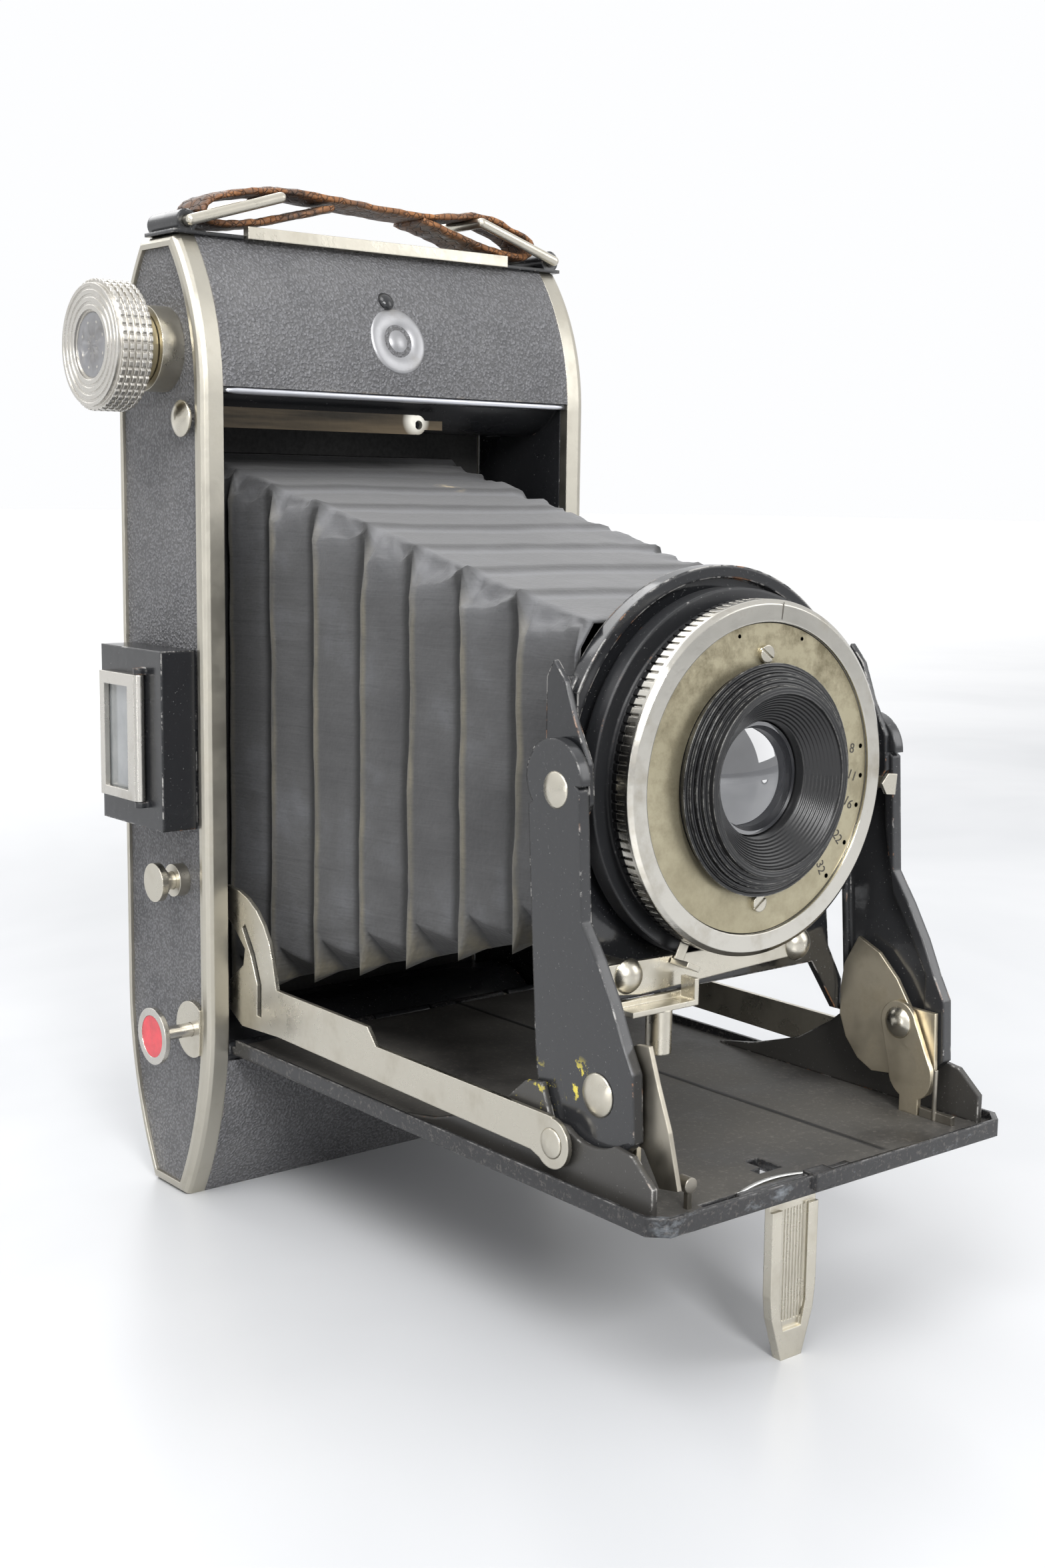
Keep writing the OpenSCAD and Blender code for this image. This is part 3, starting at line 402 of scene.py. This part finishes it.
def bellows_cloth():
    """Charcoal leather cloth: the wear attribute marks the ridges, groove the valleys and the rear pleat,
    which are painted near black as shade.
    """
    look = Look("bellows_cloth")
    wear = look.attribute("wear")
    groove = look.attribute("groove")
    fuzz = look.attribute("fuzz")
    weave = look.cells(1700, "SMOOTH_F1")
    patches = look.noise(55, 5, 0.62)
    lines = look.noise(24, 4, 0.6, stretch=(2, 2, 26), twist=0.4)
    base = look.ramp(patches, [(0.3, (0.03, 0.03, 0.031)), (0.55, (0.046, 0.046, 0.047)),
                               (0.78, (0.078, 0.08, 0.086))])
    base = look.mix(look.math("MULTIPLY", look.spots(lines, 0.55, 0.72), 0.35), base, (0.022, 0.022, 0.023))
    tan = look.ramp(look.noise(170, 4), [(0.3, (0.066, 0.061, 0.046)), (0.7, (0.115, 0.103, 0.074))])
    rub = look.math("MULTIPLY", wear, look.spots(look.noise(210, 4, 0.7, stretch=(1, 1, 0.25)), 0.28, 0.56))
    base = look.mix(rub, base, tan)
    # Paler on the upward faces: painted light from above.
    painted_top_light = look.math("MULTIPLY", look.spots(look.axis("Z", True), 0.5, 0.95), 0.55)
    base = look.mix(painted_top_light, base, (0.17, 0.17, 0.172))
    base = look.mix(look.math("MULTIPLY", fuzz, 0.6), base, (0.15, 0.152, 0.16))
    patch = look.math("MULTIPLY", look.near((11, -12, 124), 3.2), look.spots(look.noise(500, 3), 0.45, 0.6))
    base = look.mix(patch, base, (0.4, 0.33, 0.22))
    # Painted shadow: near black where the groove attribute is high, in the valleys and over the rear pleat.
    look.color(look.mix(look.math("MULTIPLY", groove, 0.93), base, (0.006, 0.006, 0.006)))
    look.set(Roughness=look.ramp(patches, [(0.3, 0.78), (0.75, 0.55)]))
    look.set(Sheen_Weight=0.12, Sheen_Roughness=0.5)
    look.bump(weave, 0.06)
    look.bump(lines, 0.22)
    look.bump(patches, 0.5)
    return look.mat


def strap_leather():
    """Dark leather, cracked all over and worn to a rusty brown on its edges."""
    look = Look("strap_leather")
    wear = look.attribute("wear")
    cracks = look.cells(520, "DISTANCE_TO_EDGE", stretch=(1.6, 0.8, 1))
    rough = look.noise(280, 5, 0.7)
    brown = look.ramp(rough, [(0.3, (0.022, 0.015, 0.012)), (0.7, (0.07, 0.045, 0.032))])
    rust = look.ramp(rough, [(0.3, (0.12, 0.045, 0.014)), (0.7, (0.3, 0.13, 0.045))])
    worn = look.math("MULTIPLY", wear, look.spots(look.noise(120, 4, 0.7), 0.34, 0.55), True)
    split = look.ramp(cracks, [(0.0, 1.0), (0.05, 0.0)])
    base = look.mix(worn, brown, rust)
    look.color(look.mix(look.math("MULTIPLY", split, 0.8), base, (0.012, 0.007, 0.005)))
    look.set(Roughness=look.ramp(rough, [(0.3, 0.42), (0.7, 0.75)]))
    look.bump(look.ramp(cracks, [(0.0, 0.0), (0.1, 1.0)]), 0.25)
    look.bump(rough, 0.35)
    return look.mat


def champagne():
    """Pale etched brass face with brown patina round its upper edge."""
    look = Look("champagne_plate")
    patina = look.noise(230, 6, 0.72)
    broad = look.noise(48, 3)
    tone = look.ramp(broad, [(0.3, (0.33, 0.295, 0.2)), (0.7, (0.43, 0.39, 0.275))])
    high = look.math("MULTIPLY", look.spots(look.axis("Z"), 0.07, 0.108), 0.75)
    mark = look.math("MULTIPLY", look.spots(patina, 0.42, 0.66), look.math("ADD", high, 0.3), True)
    look.color(look.mix(mark, tone, (0.15, 0.128, 0.078)))
    look.set(Metallic=0.75, Roughness=look.ramp(patina, [(0.3, 0.3), (0.7, 0.48)]))
    look.bump(look.noise(2200, 2), 0.012)
    return look.mat


def steel(name="steel", tone=(0.36, 0.335, 0.29)):
    """Plain steel, duller and more stained than the nickel."""
    return nickel(name, tone, (0.3, 0.52), 0.8)


def brass():
    """Blackened brass, with a painted highlight of bright metal round its hook."""
    look = Look("brass")
    streak = look.noise(60, 4, 0.6, stretch=(0.3, 1, 4))
    dark = look.ramp(streak, [(0.35, (0.025, 0.022, 0.018)), (0.7, (0.11, 0.085, 0.055))])
    # Painted highlight: a bright pale spot round the hook.
    hook_highlight = look.near((4.6, -10.3, 135.2), 3.0)
    look.color(look.mix(hook_highlight, dark, (0.75, 0.73, 0.66)))
    look.set(Metallic=0.85, Roughness=look.ramp(streak, [(0.3, 0.28), (0.7, 0.5)]))
    look.bump(look.noise(700, 3), 0.03)
    return look.mat


def matte_black():
    """Flat black paint of the film chamber and the spools."""
    look = Look("matte_black")
    grain = look.noise(1500, 3)
    look.color(look.ramp(look.noise(70, 4), [(0.3, (0.008, 0.008, 0.008)), (0.75, (0.022, 0.021, 0.02))]))
    look.set(Roughness=look.ramp(grain, [(0.3, 0.6), (0.7, 0.8)]))
    look.bump(grain, 0.03)
    return look.mat


def bed_paint():
    """The bed: dusty inside floor with one crease painted dark as shade, gloss outside, pale scuffs on the
    front edge.
    """
    look = Look("bed_paint")
    look.rounded(0.8)
    dust = look.math("MULTIPLY", look.spots(look.axis("Z", True), 0.85, 0.97),
                     look.spots(look.noise(38, 5, 0.6), 0.2, 0.62))
    low = look.spots(look.axis("Z"), 0.0288, 0.0283)
    dust = look.math("MULTIPLY", dust, low)
    grit = look.spots(look.noise(1500, 3, 0.7), 0.55, 0.66)
    base = look.mix(dust, (0.013, 0.013, 0.014), (0.062, 0.058, 0.051))
    base = look.mix(look.math("MULTIPLY", grit, 0.22), base, (0.2, 0.18, 0.16))
    off = look.math("ABSOLUTE", look.math("SUBTRACT", look.axis("X"), 0.0126))
    line = look.spots(off, 0.0007, 0.0002)
    crease = look.math("MULTIPLY", line, look.spots(look.axis("Y"), -0.1175, -0.1165))
    crease = look.math("MULTIPLY", crease, low)
    # Painted shade: the crease line is darkened near black.
    base = look.mix(crease, base, (0.004, 0.004, 0.004))
    front = look.spots(look.axis("Y"), -0.1185, -0.1196)
    scuff = look.math("MULTIPLY", front, look.spots(look.noise(115, 5, 0.7, stretch=(1, 1, 1.7)), 0.56, 0.7))
    rim = look.math("MULTIPLY", look.edge(0.4, (0.03, 0.3)), look.spots(look.noise(260, 4, 0.7), 0.5, 0.62))
    base = look.mix(look.math("MULTIPLY", scuff, 0.65), base, (0.2, 0.22, 0.24))
    look.color(look.mix(look.math("MULTIPLY", rim, 0.7), base, (0.35, 0.34, 0.33)))
    gloss = look.ramp(look.noise(60, 3), [(0.3, 0.16), (0.7, 0.3)])
    look.set(Roughness=look.mix(dust, gloss, (0.8, 0.8, 0.8)))
    look.bump(look.noise(300, 3), 0.05)
    look.bump(crease, 0.3)
    return look.mat


def barrel_black():
    """Turned black lens mount, satin, with fine concentric grooves."""
    look = Look("barrel_black")
    look.rounded(0.3)
    low, high = node_box("lens_glass")
    grooves = look.rings((low.z + high.z) / 2 * MM, 0.42)
    rub = look.math("MULTIPLY", look.edge(0.3, (0.04, 0.4)), look.spots(look.noise(700, 4, 0.7), 0.42, 0.6))
    look.color(look.mix(look.math("MULTIPLY", rub, 0.8), (0.008, 0.008, 0.0085), (0.42, 0.41, 0.38)))
    look.set(Roughness=look.ramp(look.noise(90, 4), [(0.3, 0.24), (0.7, 0.4)]))
    look.bump(grooves, 0.03)
    return look.mat


def lens_glass():
    """Glass over a dark barrel: nearly black, with a strong clear reflection and a little dust."""
    look = Look("lens_glass")
    haze = look.noise(260, 4)
    look.color(look.ramp(haze, [(0.3, (0.016, 0.016, 0.018)), (0.75, (0.034, 0.034, 0.037))]))
    look.set(Roughness=look.ramp(look.noise(900, 3), [(0.4, 0.015), (0.75, 0.06)]))
    look.set(Coat_Weight=1.0, Coat_Roughness=0.01, Coat_IOR=2.5, Coat_Tint=(0.95, 0.97, 1.0, 1),
             Specular_IOR_Level=0.7)
    look.bump(look.noise(120, 1), 0.004)
    return look.mat


def finder_glass():
    """The finder's milky glass."""
    look = Look("finder_glass")
    look.color(look.ramp(look.noise(120, 3), [(0.3, (0.16, 0.17, 0.175)), (0.7, (0.28, 0.29, 0.29))]))
    look.set(Roughness=look.ramp(look.noise(500, 3), [(0.3, 0.06), (0.7, 0.16)]))
    look.set(Coat_Weight=0.6, Specular_IOR_Level=0.8)
    look.bump(look.noise(90, 2), 0.03)
    return look.mat


def red(name="red_enamel", tone=(0.62, 0.035, 0.05)):
    """Red paint or celluloid, darker in patches."""
    look = Look(name)
    dark = tuple(c * 0.7 for c in tone)
    look.color(look.mix(look.spots(look.noise(420, 4), 0.4, 0.7), tone, dark))
    look.set(Roughness=look.ramp(look.noise(200, 3), [(0.3, 0.16), (0.7, 0.3)]))
    look.set(Coat_Weight=0.3)
    look.bump(look.noise(500, 2), 0.03)
    return look.mat


def ink(name="dial_ink"):
    """Worn black filling of an engraved mark."""
    look = Look(name)
    look.color(look.ramp(look.noise(1200, 3), [(0.3, (0.02, 0.018, 0.015)), (0.75, (0.07, 0.062, 0.05))]))
    look.set(Roughness=look.ramp(look.noise(600, 2), [(0.3, 0.45), (0.7, 0.65)]))
    return look.mat


def dress_frame():
    """Gives every CAD node its finish."""
    plate = nickel()
    looks = {
        plate: "handle_bar handle_loops side_escutcheons release_button side_button bed_rivets leg "
               "strut_rivets side_links shutter_fasteners aperture_pointer crossbar cable_socket "
               "release_lever back_latch link_studs",
        nickel("rim_nickel", (0.5, 0.475, 0.41), (0.3, 0.5), 0.35): "side_rims",
        nickel("knob_nickel", (0.56, 0.54, 0.5), (0.2, 0.38), 0.6): "red_plunger finder_front_frame",
        ring_metal(): "knurled_ring",
        knob_metal(): "winding_knob",
        enamel("strut_enamel", 0.22, (0.022, 0.0225, 0.024)): "struts",
        enamel("board_enamel", 0.5): "lens_board",
        enamel("shell_enamel", 0.2, rough=(0.2, 0.4)): "body_shell handle_brackets back_cover",
        enamel("ear_enamel", 0.3, (0.035, 0.033, 0.03), (0.3, 0.55)): "link_ears",
        enamel("finder_enamel", 0.3, rough=(0.16, 0.3)): "finder_housing",
        enamel("case_enamel", 0.0, rough=(0.3, 0.46)): "shutter_case",
        bed_paint(): "bed_plate",
        leatherette(): "side_leather front_leather bed_leather back_leather",
        brass(): "latch_bar",
        champagne(): "faceplate",
        barrel_black(): "lens_barrel",
        matte_black(): "film_gate take_up_spool supply_spool shutter_blades",
        steel(): "roller_top roller_bottom hinge_pins winding_key spool_pins lever_springs pressure_plate "
                 "finder_eyepiece",
        steel("lever_steel", (0.4, 0.37, 0.31)): "lock_lever_left",
        steel("dusty_steel", (0.78, 0.7, 0.54)): "lock_lever_right strut_brackets",
        red(): "red_dot",
        red("red_celluloid", (0.3, 0.012, 0.012)): "red_window",
        lens_glass(): "lens_glass",
        finder_glass(): "finder_front_glass finder_eye_glass",
    }
    for material, names in looks.items():
        for name in names.split():
            nodes[name].data.materials.clear()
            nodes[name].data.materials.append(material)


# ---- Mesh helpers ----
def mesh_piece(name, made, material, smooth=True):
    """Turns a bmesh into an object of the scene."""
    mesh = bpy.data.meshes.new(name)
    bmesh.ops.recalc_face_normals(made, faces=made.faces)
    for face in made.faces:
        face.smooth = smooth
    made.to_mesh(mesh)
    made.free()
    mesh.materials.append(material)
    piece = bpy.data.objects.new(name, mesh)
    bpy.context.collection.objects.link(piece)
    return piece


def stitch(made, rings):
    """Quads between neighbouring rings of vertices."""
    for a, b in zip(rings, rings[1:]):
        for k in range(len(a)):
            n = (k + 1) % len(a)
            made.faces.new((a[k], a[n], b[n], b[k]))


def point_values(piece, name, values):
    """Stores one number a vertex, for the piece's material to read."""
    layer = piece.data.attributes.new(name, "FLOAT", "POINT")
    layer.data.foreach_set("value", values)


def mix(a, b, t):
    """From a at t 0 to b at t 1."""
    return a + (b - a) * t


def wobble(place, scale, seed=0.0):
    """Smooth repeatable variation from -1 to 1 at a place in millimetres."""
    x, y, z = (c * scale for c in place)
    return noise.noise(Vector((x + seed, y - seed, z + 2 * seed)))


def finish(piece, body):
    """Attaches the piece to the body that it moves with."""
    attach(piece, body)


def disc(name, profile, place, surface, material):
    """A round boss that follows the covering: profile gives (radius, height) from its middle out."""
    x0, z0 = place
    around = 56
    made = bmesh.new()
    rings = []
    for radius, height in profile:
        ring = []
        for k in range(around):
            a = 2 * math.pi * k / around
            x, z = x0 + radius * math.cos(a), z0 + radius * math.sin(a)
            ring.append(made.verts.new(Vector((x, surface(x, z) - height, z)) * MM))
        rings.append(ring)
    stitch(made, rings)
    made.faces.new(rings[0])
    made.faces.new(rings[-1])
    finish(mesh_piece(name, made, material), "body")


def tube(made, line, radii, sides):
    """A rod along a line with a radius at each point."""
    rings = []
    for i, p in enumerate(line):
        run = (line[min(i + 1, len(line) - 1)] - line[max(i - 1, 0)]).normalized()
        turn = run.to_track_quat("Z", "Y").to_matrix()
        ring = []
        for k in range(sides):
            a = 2 * math.pi * k / sides
            spot = p + turn @ Vector((radii[i] * math.cos(a), radii[i] * math.sin(a), 0))
            ring.append(made.verts.new(spot * MM))
        rings.append(ring)
    stitch(made, rings)
    made.faces.new(rings[0])
    made.faces.new(rings[-1])


# ---- Bellows ----
# Sizes in millimetres. The rear end fills the CAD bellows' box, and the front end is smaller.
PLEATS = 8
FOLD = 1.5
SKIN = 0.5
CREASE = 7.5
FRONT_HALF = 25.6
FRONT_TOP = 105.4
FRONT_FLOOR = 58.6
# Points along each side of a ring, from the upper left corner down, across the floor and up again
STEPS = [4, 26, 3, 3, 16, 3, 3, 26, 4, 22]
FLOOR_START = sum(STEPS[:4])
LEFT_CORNER = 2
RIGHT_CORNER = sum(STEPS[:8]) + 2
TOP_START = sum(STEPS[:9])


def bellows_section(t, out, tooth):
    """The right side of a ring, from the upper corner down to the floor, as (x, z). t runs from 0 at
    the rear to 1 at the front, out is 1 on a ridge and 0 in a valley, and tooth is how far the lower
    corner reaches down."""
    low, high = node_box("bellows")
    half = mix(high.x, FRONT_HALF, t) - FOLD * (1 - out)
    top = mix(high.z, FRONT_TOP, t) - 0.5 * out
    floor = mix(low.z, FRONT_FLOOR, t) + 1.6 * (1 - out)
    drop = mix(1.2, 5.0, out)
    tuck = mix(0.9, 3.4, out)
    lift = CREASE * (1 - tooth)
    return [(half - tuck, top), (half, top - drop), (half, floor + CREASE + 1),
            (half - 0.4 * (1 - tooth), floor + lift), (half - 5.5, floor + 1.2 * out)]


def bellows_ring(t, y, out, tooth):
    """The whole ring of points, left and right sides mirrored, evenly filled between corners."""
    right = bellows_section(t, out, tooth)
    corners = [(-x, z) for x, z in right] + [(x, z) for x, z in reversed(right)]
    points = []
    for (x0, z0), (x1, z1), count in zip(corners, corners[1:] + corners[:1], STEPS):
        for i in range(count):
            s = i / count
            points.append(Vector((mix(x0, x1, s), y, mix(z0, z1, s))))
    return points


def bellows_stations():
    """The rings from the rear to the front, as (t, out, tooth, wear): in each pleat a worn ridge, then
    the panel that falls from it to the next valley."""
    bead, groove = 0.13, 0.9
    stations = []
    for k in range(PLEATS):
        rear = k / PLEATS
        panel = [(bead + (groove - bead) * i / 9) for i in range(10)]
        stations.append((rear, 1.0 if k else 0.15, 1.0 if k else 0.0, 1.0 if k else 0.2))
        stations.append((rear + 0.55 * bead / PLEATS, 1.08 if k else 0.15, 0.55 if k else 0.0, 1.0))
        for u in panel:
            run = (u - bead) / (groove - bead)
            crown = 0.10 * math.sin(math.pi * run)
            stations.append((rear + u / PLEATS, mix(0.96, 0.0, run) + crown, mix(0.06, 0.85, run), 0.0))
    stations.append((1.0, 0.9, 0.6, 0.0))
    return stations


def corner_weight(i):
    """1 at the two upper corners of a ring, falling to 0 within five points of them."""
    return max(0.0, 1 - abs(i - LEFT_CORNER) / 5) + max(0.0, 1 - abs(i - RIGHT_CORNER) / 5)


def make_bellows():
    """The pleated cloth, fixed to the body."""
    low, high = node_box("bellows")
    pitch = (high.y - low.y) / PLEATS
    made = bmesh.new()
    outer, inner, wear, valley_shade, fuzz = [], [], [], [], []
    for t, out, tooth, worn in bellows_stations():
        y = high.y - t * PLEATS * pitch
        phase = t * PLEATS % 1.0
        # Painted shadow: each panel darkens towards the valley under the next ridge, and the rearmost pleat
        # is painted dark as shade.
        dark = min(1.0, max(0.0, (phase - 0.72) / 0.09)) if worn == 0 and t < 1 - 0.5 / PLEATS else 0.0
        dark = max(dark, min(1.0, 1.3 - 8 * t))
        for skin, rings in ((0.0, outer), (SKIN, inner)):
            ring = bellows_ring(t, y, out, tooth)
            centre = Vector((0, y, (ring[0].z + ring[FLOOR_START].z) / 2))
            row = []
            for i, p in enumerate(ring):
                shift = 0.35 * wobble(p, 0.055, 3.1) + 0.16 * wobble(p, 0.21, 7.7)
                corner = corner_weight(i)
                shift += corner * (1.9 * wobble(p, 0.19, 1.3) + 1.1 * wobble(p, 0.45, 6.1))
                inward = (centre - p).normalized()
                edge = 0.0 if t in (0.0, 1.0) else 1.0
                spot = p + inward * (skin + edge * (0.35 - shift * 0.8))
                sway = wobble(p, 0.09, 5.2) + 0.5 * wobble(p, 0.3, 2.2)
                spot.y += edge * (0.4 + 2.2 * corner) * sway
                spot.y = min(max(spot.y, low.y + 0.02), high.y - 0.02)
                row.append(made.verts.new(spot * MM))
                upper = i >= TOP_START or i < 3
                wear.append(worn * (0.1 if upper else 1.0))
                valley_shade.append(dark * (0.55 if upper else 1.0))
                fuzz.append(min(1.0, corner * mix(0.35, 0.9, max(0.0, out)) + (0.8 * worn if upper else 0.0)))
            rings.append(row)
    stitch(made, outer)
    stitch(made, inner)
    stitch(made, [outer[0], inner[0]])
    stitch(made, [outer[-1], inner[-1]])
    made.verts.index_update()
    piece = mesh_piece("bellows_cloth", made, bellows_cloth())
    for name, values in (("wear", wear), ("groove", valley_shade), ("fuzz", fuzz)):
        point_values(piece, name, values)
    fine = piece.modifiers.new("fine", "SUBSURF")
    fine.subdivision_type = "SIMPLE"
    fine.levels = fine.render_levels = 1
    apply_modifiers(piece)
    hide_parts("bellows")
    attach(piece, "body")
    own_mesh(piece)


def apply_modifiers(piece):
    """Keeps the shape that the modifiers make and removes them."""
    bpy.context.view_layer.update()
    ready = piece.evaluated_get(bpy.context.evaluated_depsgraph_get())
    mesh = bpy.data.meshes.new_from_object(ready)
    piece.modifiers.clear()
    piece.data = mesh


# ---- Strap ----
def smooth_line(points, count):
    """A Catmull-Rom line through the points, as (x, z) pairs."""
    line = []
    last = len(points) - 1
    for i in range(last):
        p = [Vector(points[max(0, min(last, i + k))]) for k in (-1, 0, 1, 2)]
        for j in range(count):
            s = j / count
            line.append(0.5 * ((2 * p[1]) + (p[2] - p[0]) * s
                               + (2 * p[0] - 5 * p[1] + 4 * p[2] - p[3]) * s * s
                               + (3 * p[1] - p[0] - 3 * p[2] + p[3]) * s ** 3))
    line.append(Vector(points[-1]))
    return line


def band(made, line, width, thick, middle, wear, seed):
    """A leather band along an X-Z line: rounded edges, uneven width and a frayed surface."""
    across = 12
    rings = []
    for i, p in enumerate(line):
        ahead, behind = line[min(i + 1, len(line) - 1)], line[max(i - 1, 0)]
        run = (ahead - behind).normalized()
        normal = Vector((-run.y, run.x))
        ring = []
        for k in range(2 * across):
            a = 2 * math.pi * k / (2 * across)
            c, s = math.cos(a), math.sin(a)
            y = middle + math.copysign(abs(c) ** 0.45, c) * width / 2
            h = math.copysign(abs(s) ** 0.6, s) * thick / 2
            spot = Vector((p.x + normal.x * h, y, p.y + normal.y * h))
            rough = 0.3 * wobble(spot, 0.45, seed) + 0.16 * wobble(spot, 1.3, seed + 4)
            spot.x += normal.x * rough * (1 if s > 0 else 0.4)
            spot.z += normal.y * rough * (1 if s > 0 else 0.4)
            spot.y += 0.22 * wobble(spot, 0.35, seed + 9) - 0.1 * c
            ring.append(made.verts.new(spot * MM))
            wear.append(min(1.0, 0.35 + 0.85 * abs(c) ** 3 + 0.3 * wobble(spot, 0.12, seed)))
        rings.append(ring)
    stitch(made, rings)
    made.faces.new(rings[0])
    made.faces.new(list(reversed(rings[-1])))


def make_strap():
    """The carrying strap: an upper band and two ends turned under through the wire loops."""
    low, high = node_box("handle_strap")
    deck = node_box("body_shell")[1].z
    middle = (low.y + high.y) / 2
    width = 9.6
    top = [(-35, 4.4), (-34.2, 6.0), (-31.5, 7.3), (-24.5, 8.8), (-19, 9.3), (-9, 8.9), (0, 8.4), (8, 8.1),
           (15, 8.4), (23, 9.2), (30.5, 7.5), (34, 6.0), (35, 4.4)]
    under = [(35, 4.3), (33.8, 3.2), (31, 2.9), (27, 3.3), (23, 4.0), (18, 5.2), (14, 6.3), (9.5, 7.4)]
    made = bmesh.new()
    wear = []
    lines = [top, under, [(-x, z) for x, z in under]]
    for seed, points in enumerate(lines):
        raised = [(x, z + deck) for x, z in points]
        band(made, smooth_line(raised, 7), width, 1.3, middle, wear, 2.0 + 3.7 * seed)
    piece = mesh_piece("carrying_strap", made, strap_leather())
    point_values(piece, "wear", wear)
    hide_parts("handle_strap")
    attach(piece, "body")


# ---- Dial, knob face and trim ----
def make_dial():
    """Aperture numbers with their dots, on the right of the front plate."""
    low, high = node_box("faceplate")
    face = low.y - 0.03
    centre = (low.z + high.z) / 2
    radius = (high.x - low.x) / 2
    black = ink()
    dot_sides = 14
    mark_t = 0.02
    marks = {"8": 9, "11": -3, "16": -15, "22": -31, "32": -47}
    made = bmesh.new()

    def dot(angle, far, size):
        ring = []
        for k in range(dot_sides):
            a = 2 * math.pi * k / dot_sides
            ring.append(made.verts.new(Vector((far * math.cos(angle) + size * math.cos(a), face,
                                               centre + far * math.sin(angle) + size * math.sin(a))) * MM))
        made.faces.new(ring)

    for label, degrees in marks.items():
        angle = math.radians(degrees)
        data = bpy.data.curves.new("number_" + label, "FONT")
        data.body = label
        data.size = 2.1 * MM
        data.align_x = data.align_y = "CENTER"
        data.extrude = mark_t * MM
        text = bpy.data.objects.new("number_" + label, data)
        bpy.context.collection.objects.link(text)
        far = radius * 0.875
        spot = Vector((far * math.cos(angle), face, centre + far * math.sin(angle)))
        upright = Matrix.Rotation(math.pi / 2, 4, "X")
        leaning = Matrix.Rotation(angle - math.radians(20), 4, "Z")
        text.matrix_world = Matrix.Translation(spot * MM) @ upright @ leaning
        bpy.context.view_layer.update()
        mesh = bpy.data.meshes.new_from_object(text.evaluated_get(bpy.context.evaluated_depsgraph_get()))
        mesh.transform(text.matrix_world)
        bpy.data.objects.remove(text)
        made.from_mesh(mesh)
        dot(angle, radius * 0.96, 0.36)
    for degrees in (104, 69):
        dot(math.radians(degrees), radius * 0.95, 0.3)
    dots = [f for f in made.faces if len(f.verts) == dot_sides]
    bmesh.ops.solidify(made, geom=dots, thickness=mark_t * MM)
    piece = mesh_piece("dial_marks", made, black, smooth=False)
    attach(piece, "standard")


def make_knob_face():
    """A plain embossed rosette in the middle of the winding knob."""
    low, high = node_box("winding_knob")
    centre = Vector((0, (low.y + high.y) / 2, (low.z + high.z) / 2))
    made = bmesh.new()
    rings = []
    petals, reach = 8, 5.3
    circles, around = 14, 96
    for i in range(1, circles + 1):
        radius = reach * i / circles
        ring = []
        for k in range(around):
            a = 2 * math.pi * k / around
            wave = math.cos(petals * a) * math.sin(math.pi * radius / reach)
            lift = 0.28 * wave + 0.2 * math.cos(2.4 * radius)
            x = low.x + (0.62 if i == circles else 0.42 - 0.5 * lift)
            ring.append(made.verts.new(Vector((x, centre.y + radius * math.cos(a),
                                               centre.z + radius * math.sin(a))) * MM))
        rings.append(ring)
    stitch(made, rings)
    made.faces.new(rings[0])
    piece = mesh_piece("knob_rosette", made, nickel("pewter", (0.34, 0.34, 0.35), (0.34, 0.5), 0.9))
    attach(piece, "winder")


def make_bosses():
    """A dark stud and a plain embossed roundel on the upper covering."""
    skin = BVHTree.FromPolygons([v.co[:] for v in nodes["front_leather"].data.vertices],
                                [p.vertices[:] for p in nodes["front_leather"].data.polygons])

    def on_front(x, z):
        hit = skin.ray_cast(Vector((x, -50, z)) * MM, Vector((0, 1, 0)))[0]
        return hit.y / MM if hit else node_box("front_leather")[0].y

    pewter = nickel("pewter_trim", (0.36, 0.36, 0.37), (0.35, 0.5), 0.9)
    stud = [(0.01, 0.95), (0.9, 0.85), (1.35, 0.5), (1.5, 0.0), (1.5, -0.5)]
    disc("top_stud", stud, (-2, 155.5), on_front, enamel("stud_enamel", 0.1))
    roundel = [(0.01, 0.2), (1.7, 0.16), (2.0, -0.1), (2.7, -0.1), (3.0, 0.16), (5.0, 0.2), (5.5, 0.12),
               (5.9, -0.2)]
    disc("emboss_roundel", roundel, (-1, 148.6), on_front, pewter)


def make_lip():
    """A pale bluish metal bead along the rolled edge over the opening, a painted highlight on the glossy
    black lip.
    """
    # Painted highlight: a bright bluish bead laid along the black lip.
    lip_highlight = nickel("lip_highlight_bead", (0.62, 0.63, 0.67), (0.3, 0.45), 0.3)
    made = bmesh.new()
    tube(made, [Vector((x, -13.3, 138.72)) for x in (-36.2, -35.6, -34, -12, 12, 34, 35.6, 36.2)],
         [0.15, 0.45, 0.64, 0.64, 0.6, 0.52, 0.4, 0.15], 12)
    finish(mesh_piece("lip_highlight_bead", made, lip_highlight), "body")


def make_catch_spring():
    """The bowed spring wire of the bed's catch."""
    made = bmesh.new()
    bends = 10
    arc = []
    for i in range(bends + 1):
        bow = math.sin(math.pi * i / bends)
        arc.append(Vector((-18 + 1.5 * i, -116.75 + 0.85 * bow, 28.1 + 0.42 * bow)))
    tube(made, arc, [0.34] * len(arc), 10)
    finish(mesh_piece("catch_spring", made, nickel("spring_steel", (0.62, 0.62, 0.6), (0.14, 0.28), 0.3)),
           "bed")


def make_ring_joint():
    """The joint line across the front of the knurled ring."""
    low, high = node_box("knurled_ring")
    middle = (low.z + high.z) / 2
    made = bmesh.new()
    split = math.radians(83)
    line = []
    for r in (23.1, 24, 25, 25.6):
        line.append(Vector((r * math.cos(split), low.y - 0.01, middle + r * math.sin(split))))
    tube(made, line, [0.05, 0.09, 0.09, 0.05], 8)
    finish(mesh_piece("ring_joint", made, ink("joint_line")), "knurled_ring")


bpy.context.scene.view_settings.view_transform = "Standard"
add_camera()
add_studio()
dress_frame()
make_bellows()
make_strap()
make_dial()
make_knob_face()
make_bosses()
make_lip()
make_catch_spring()
make_ring_joint()
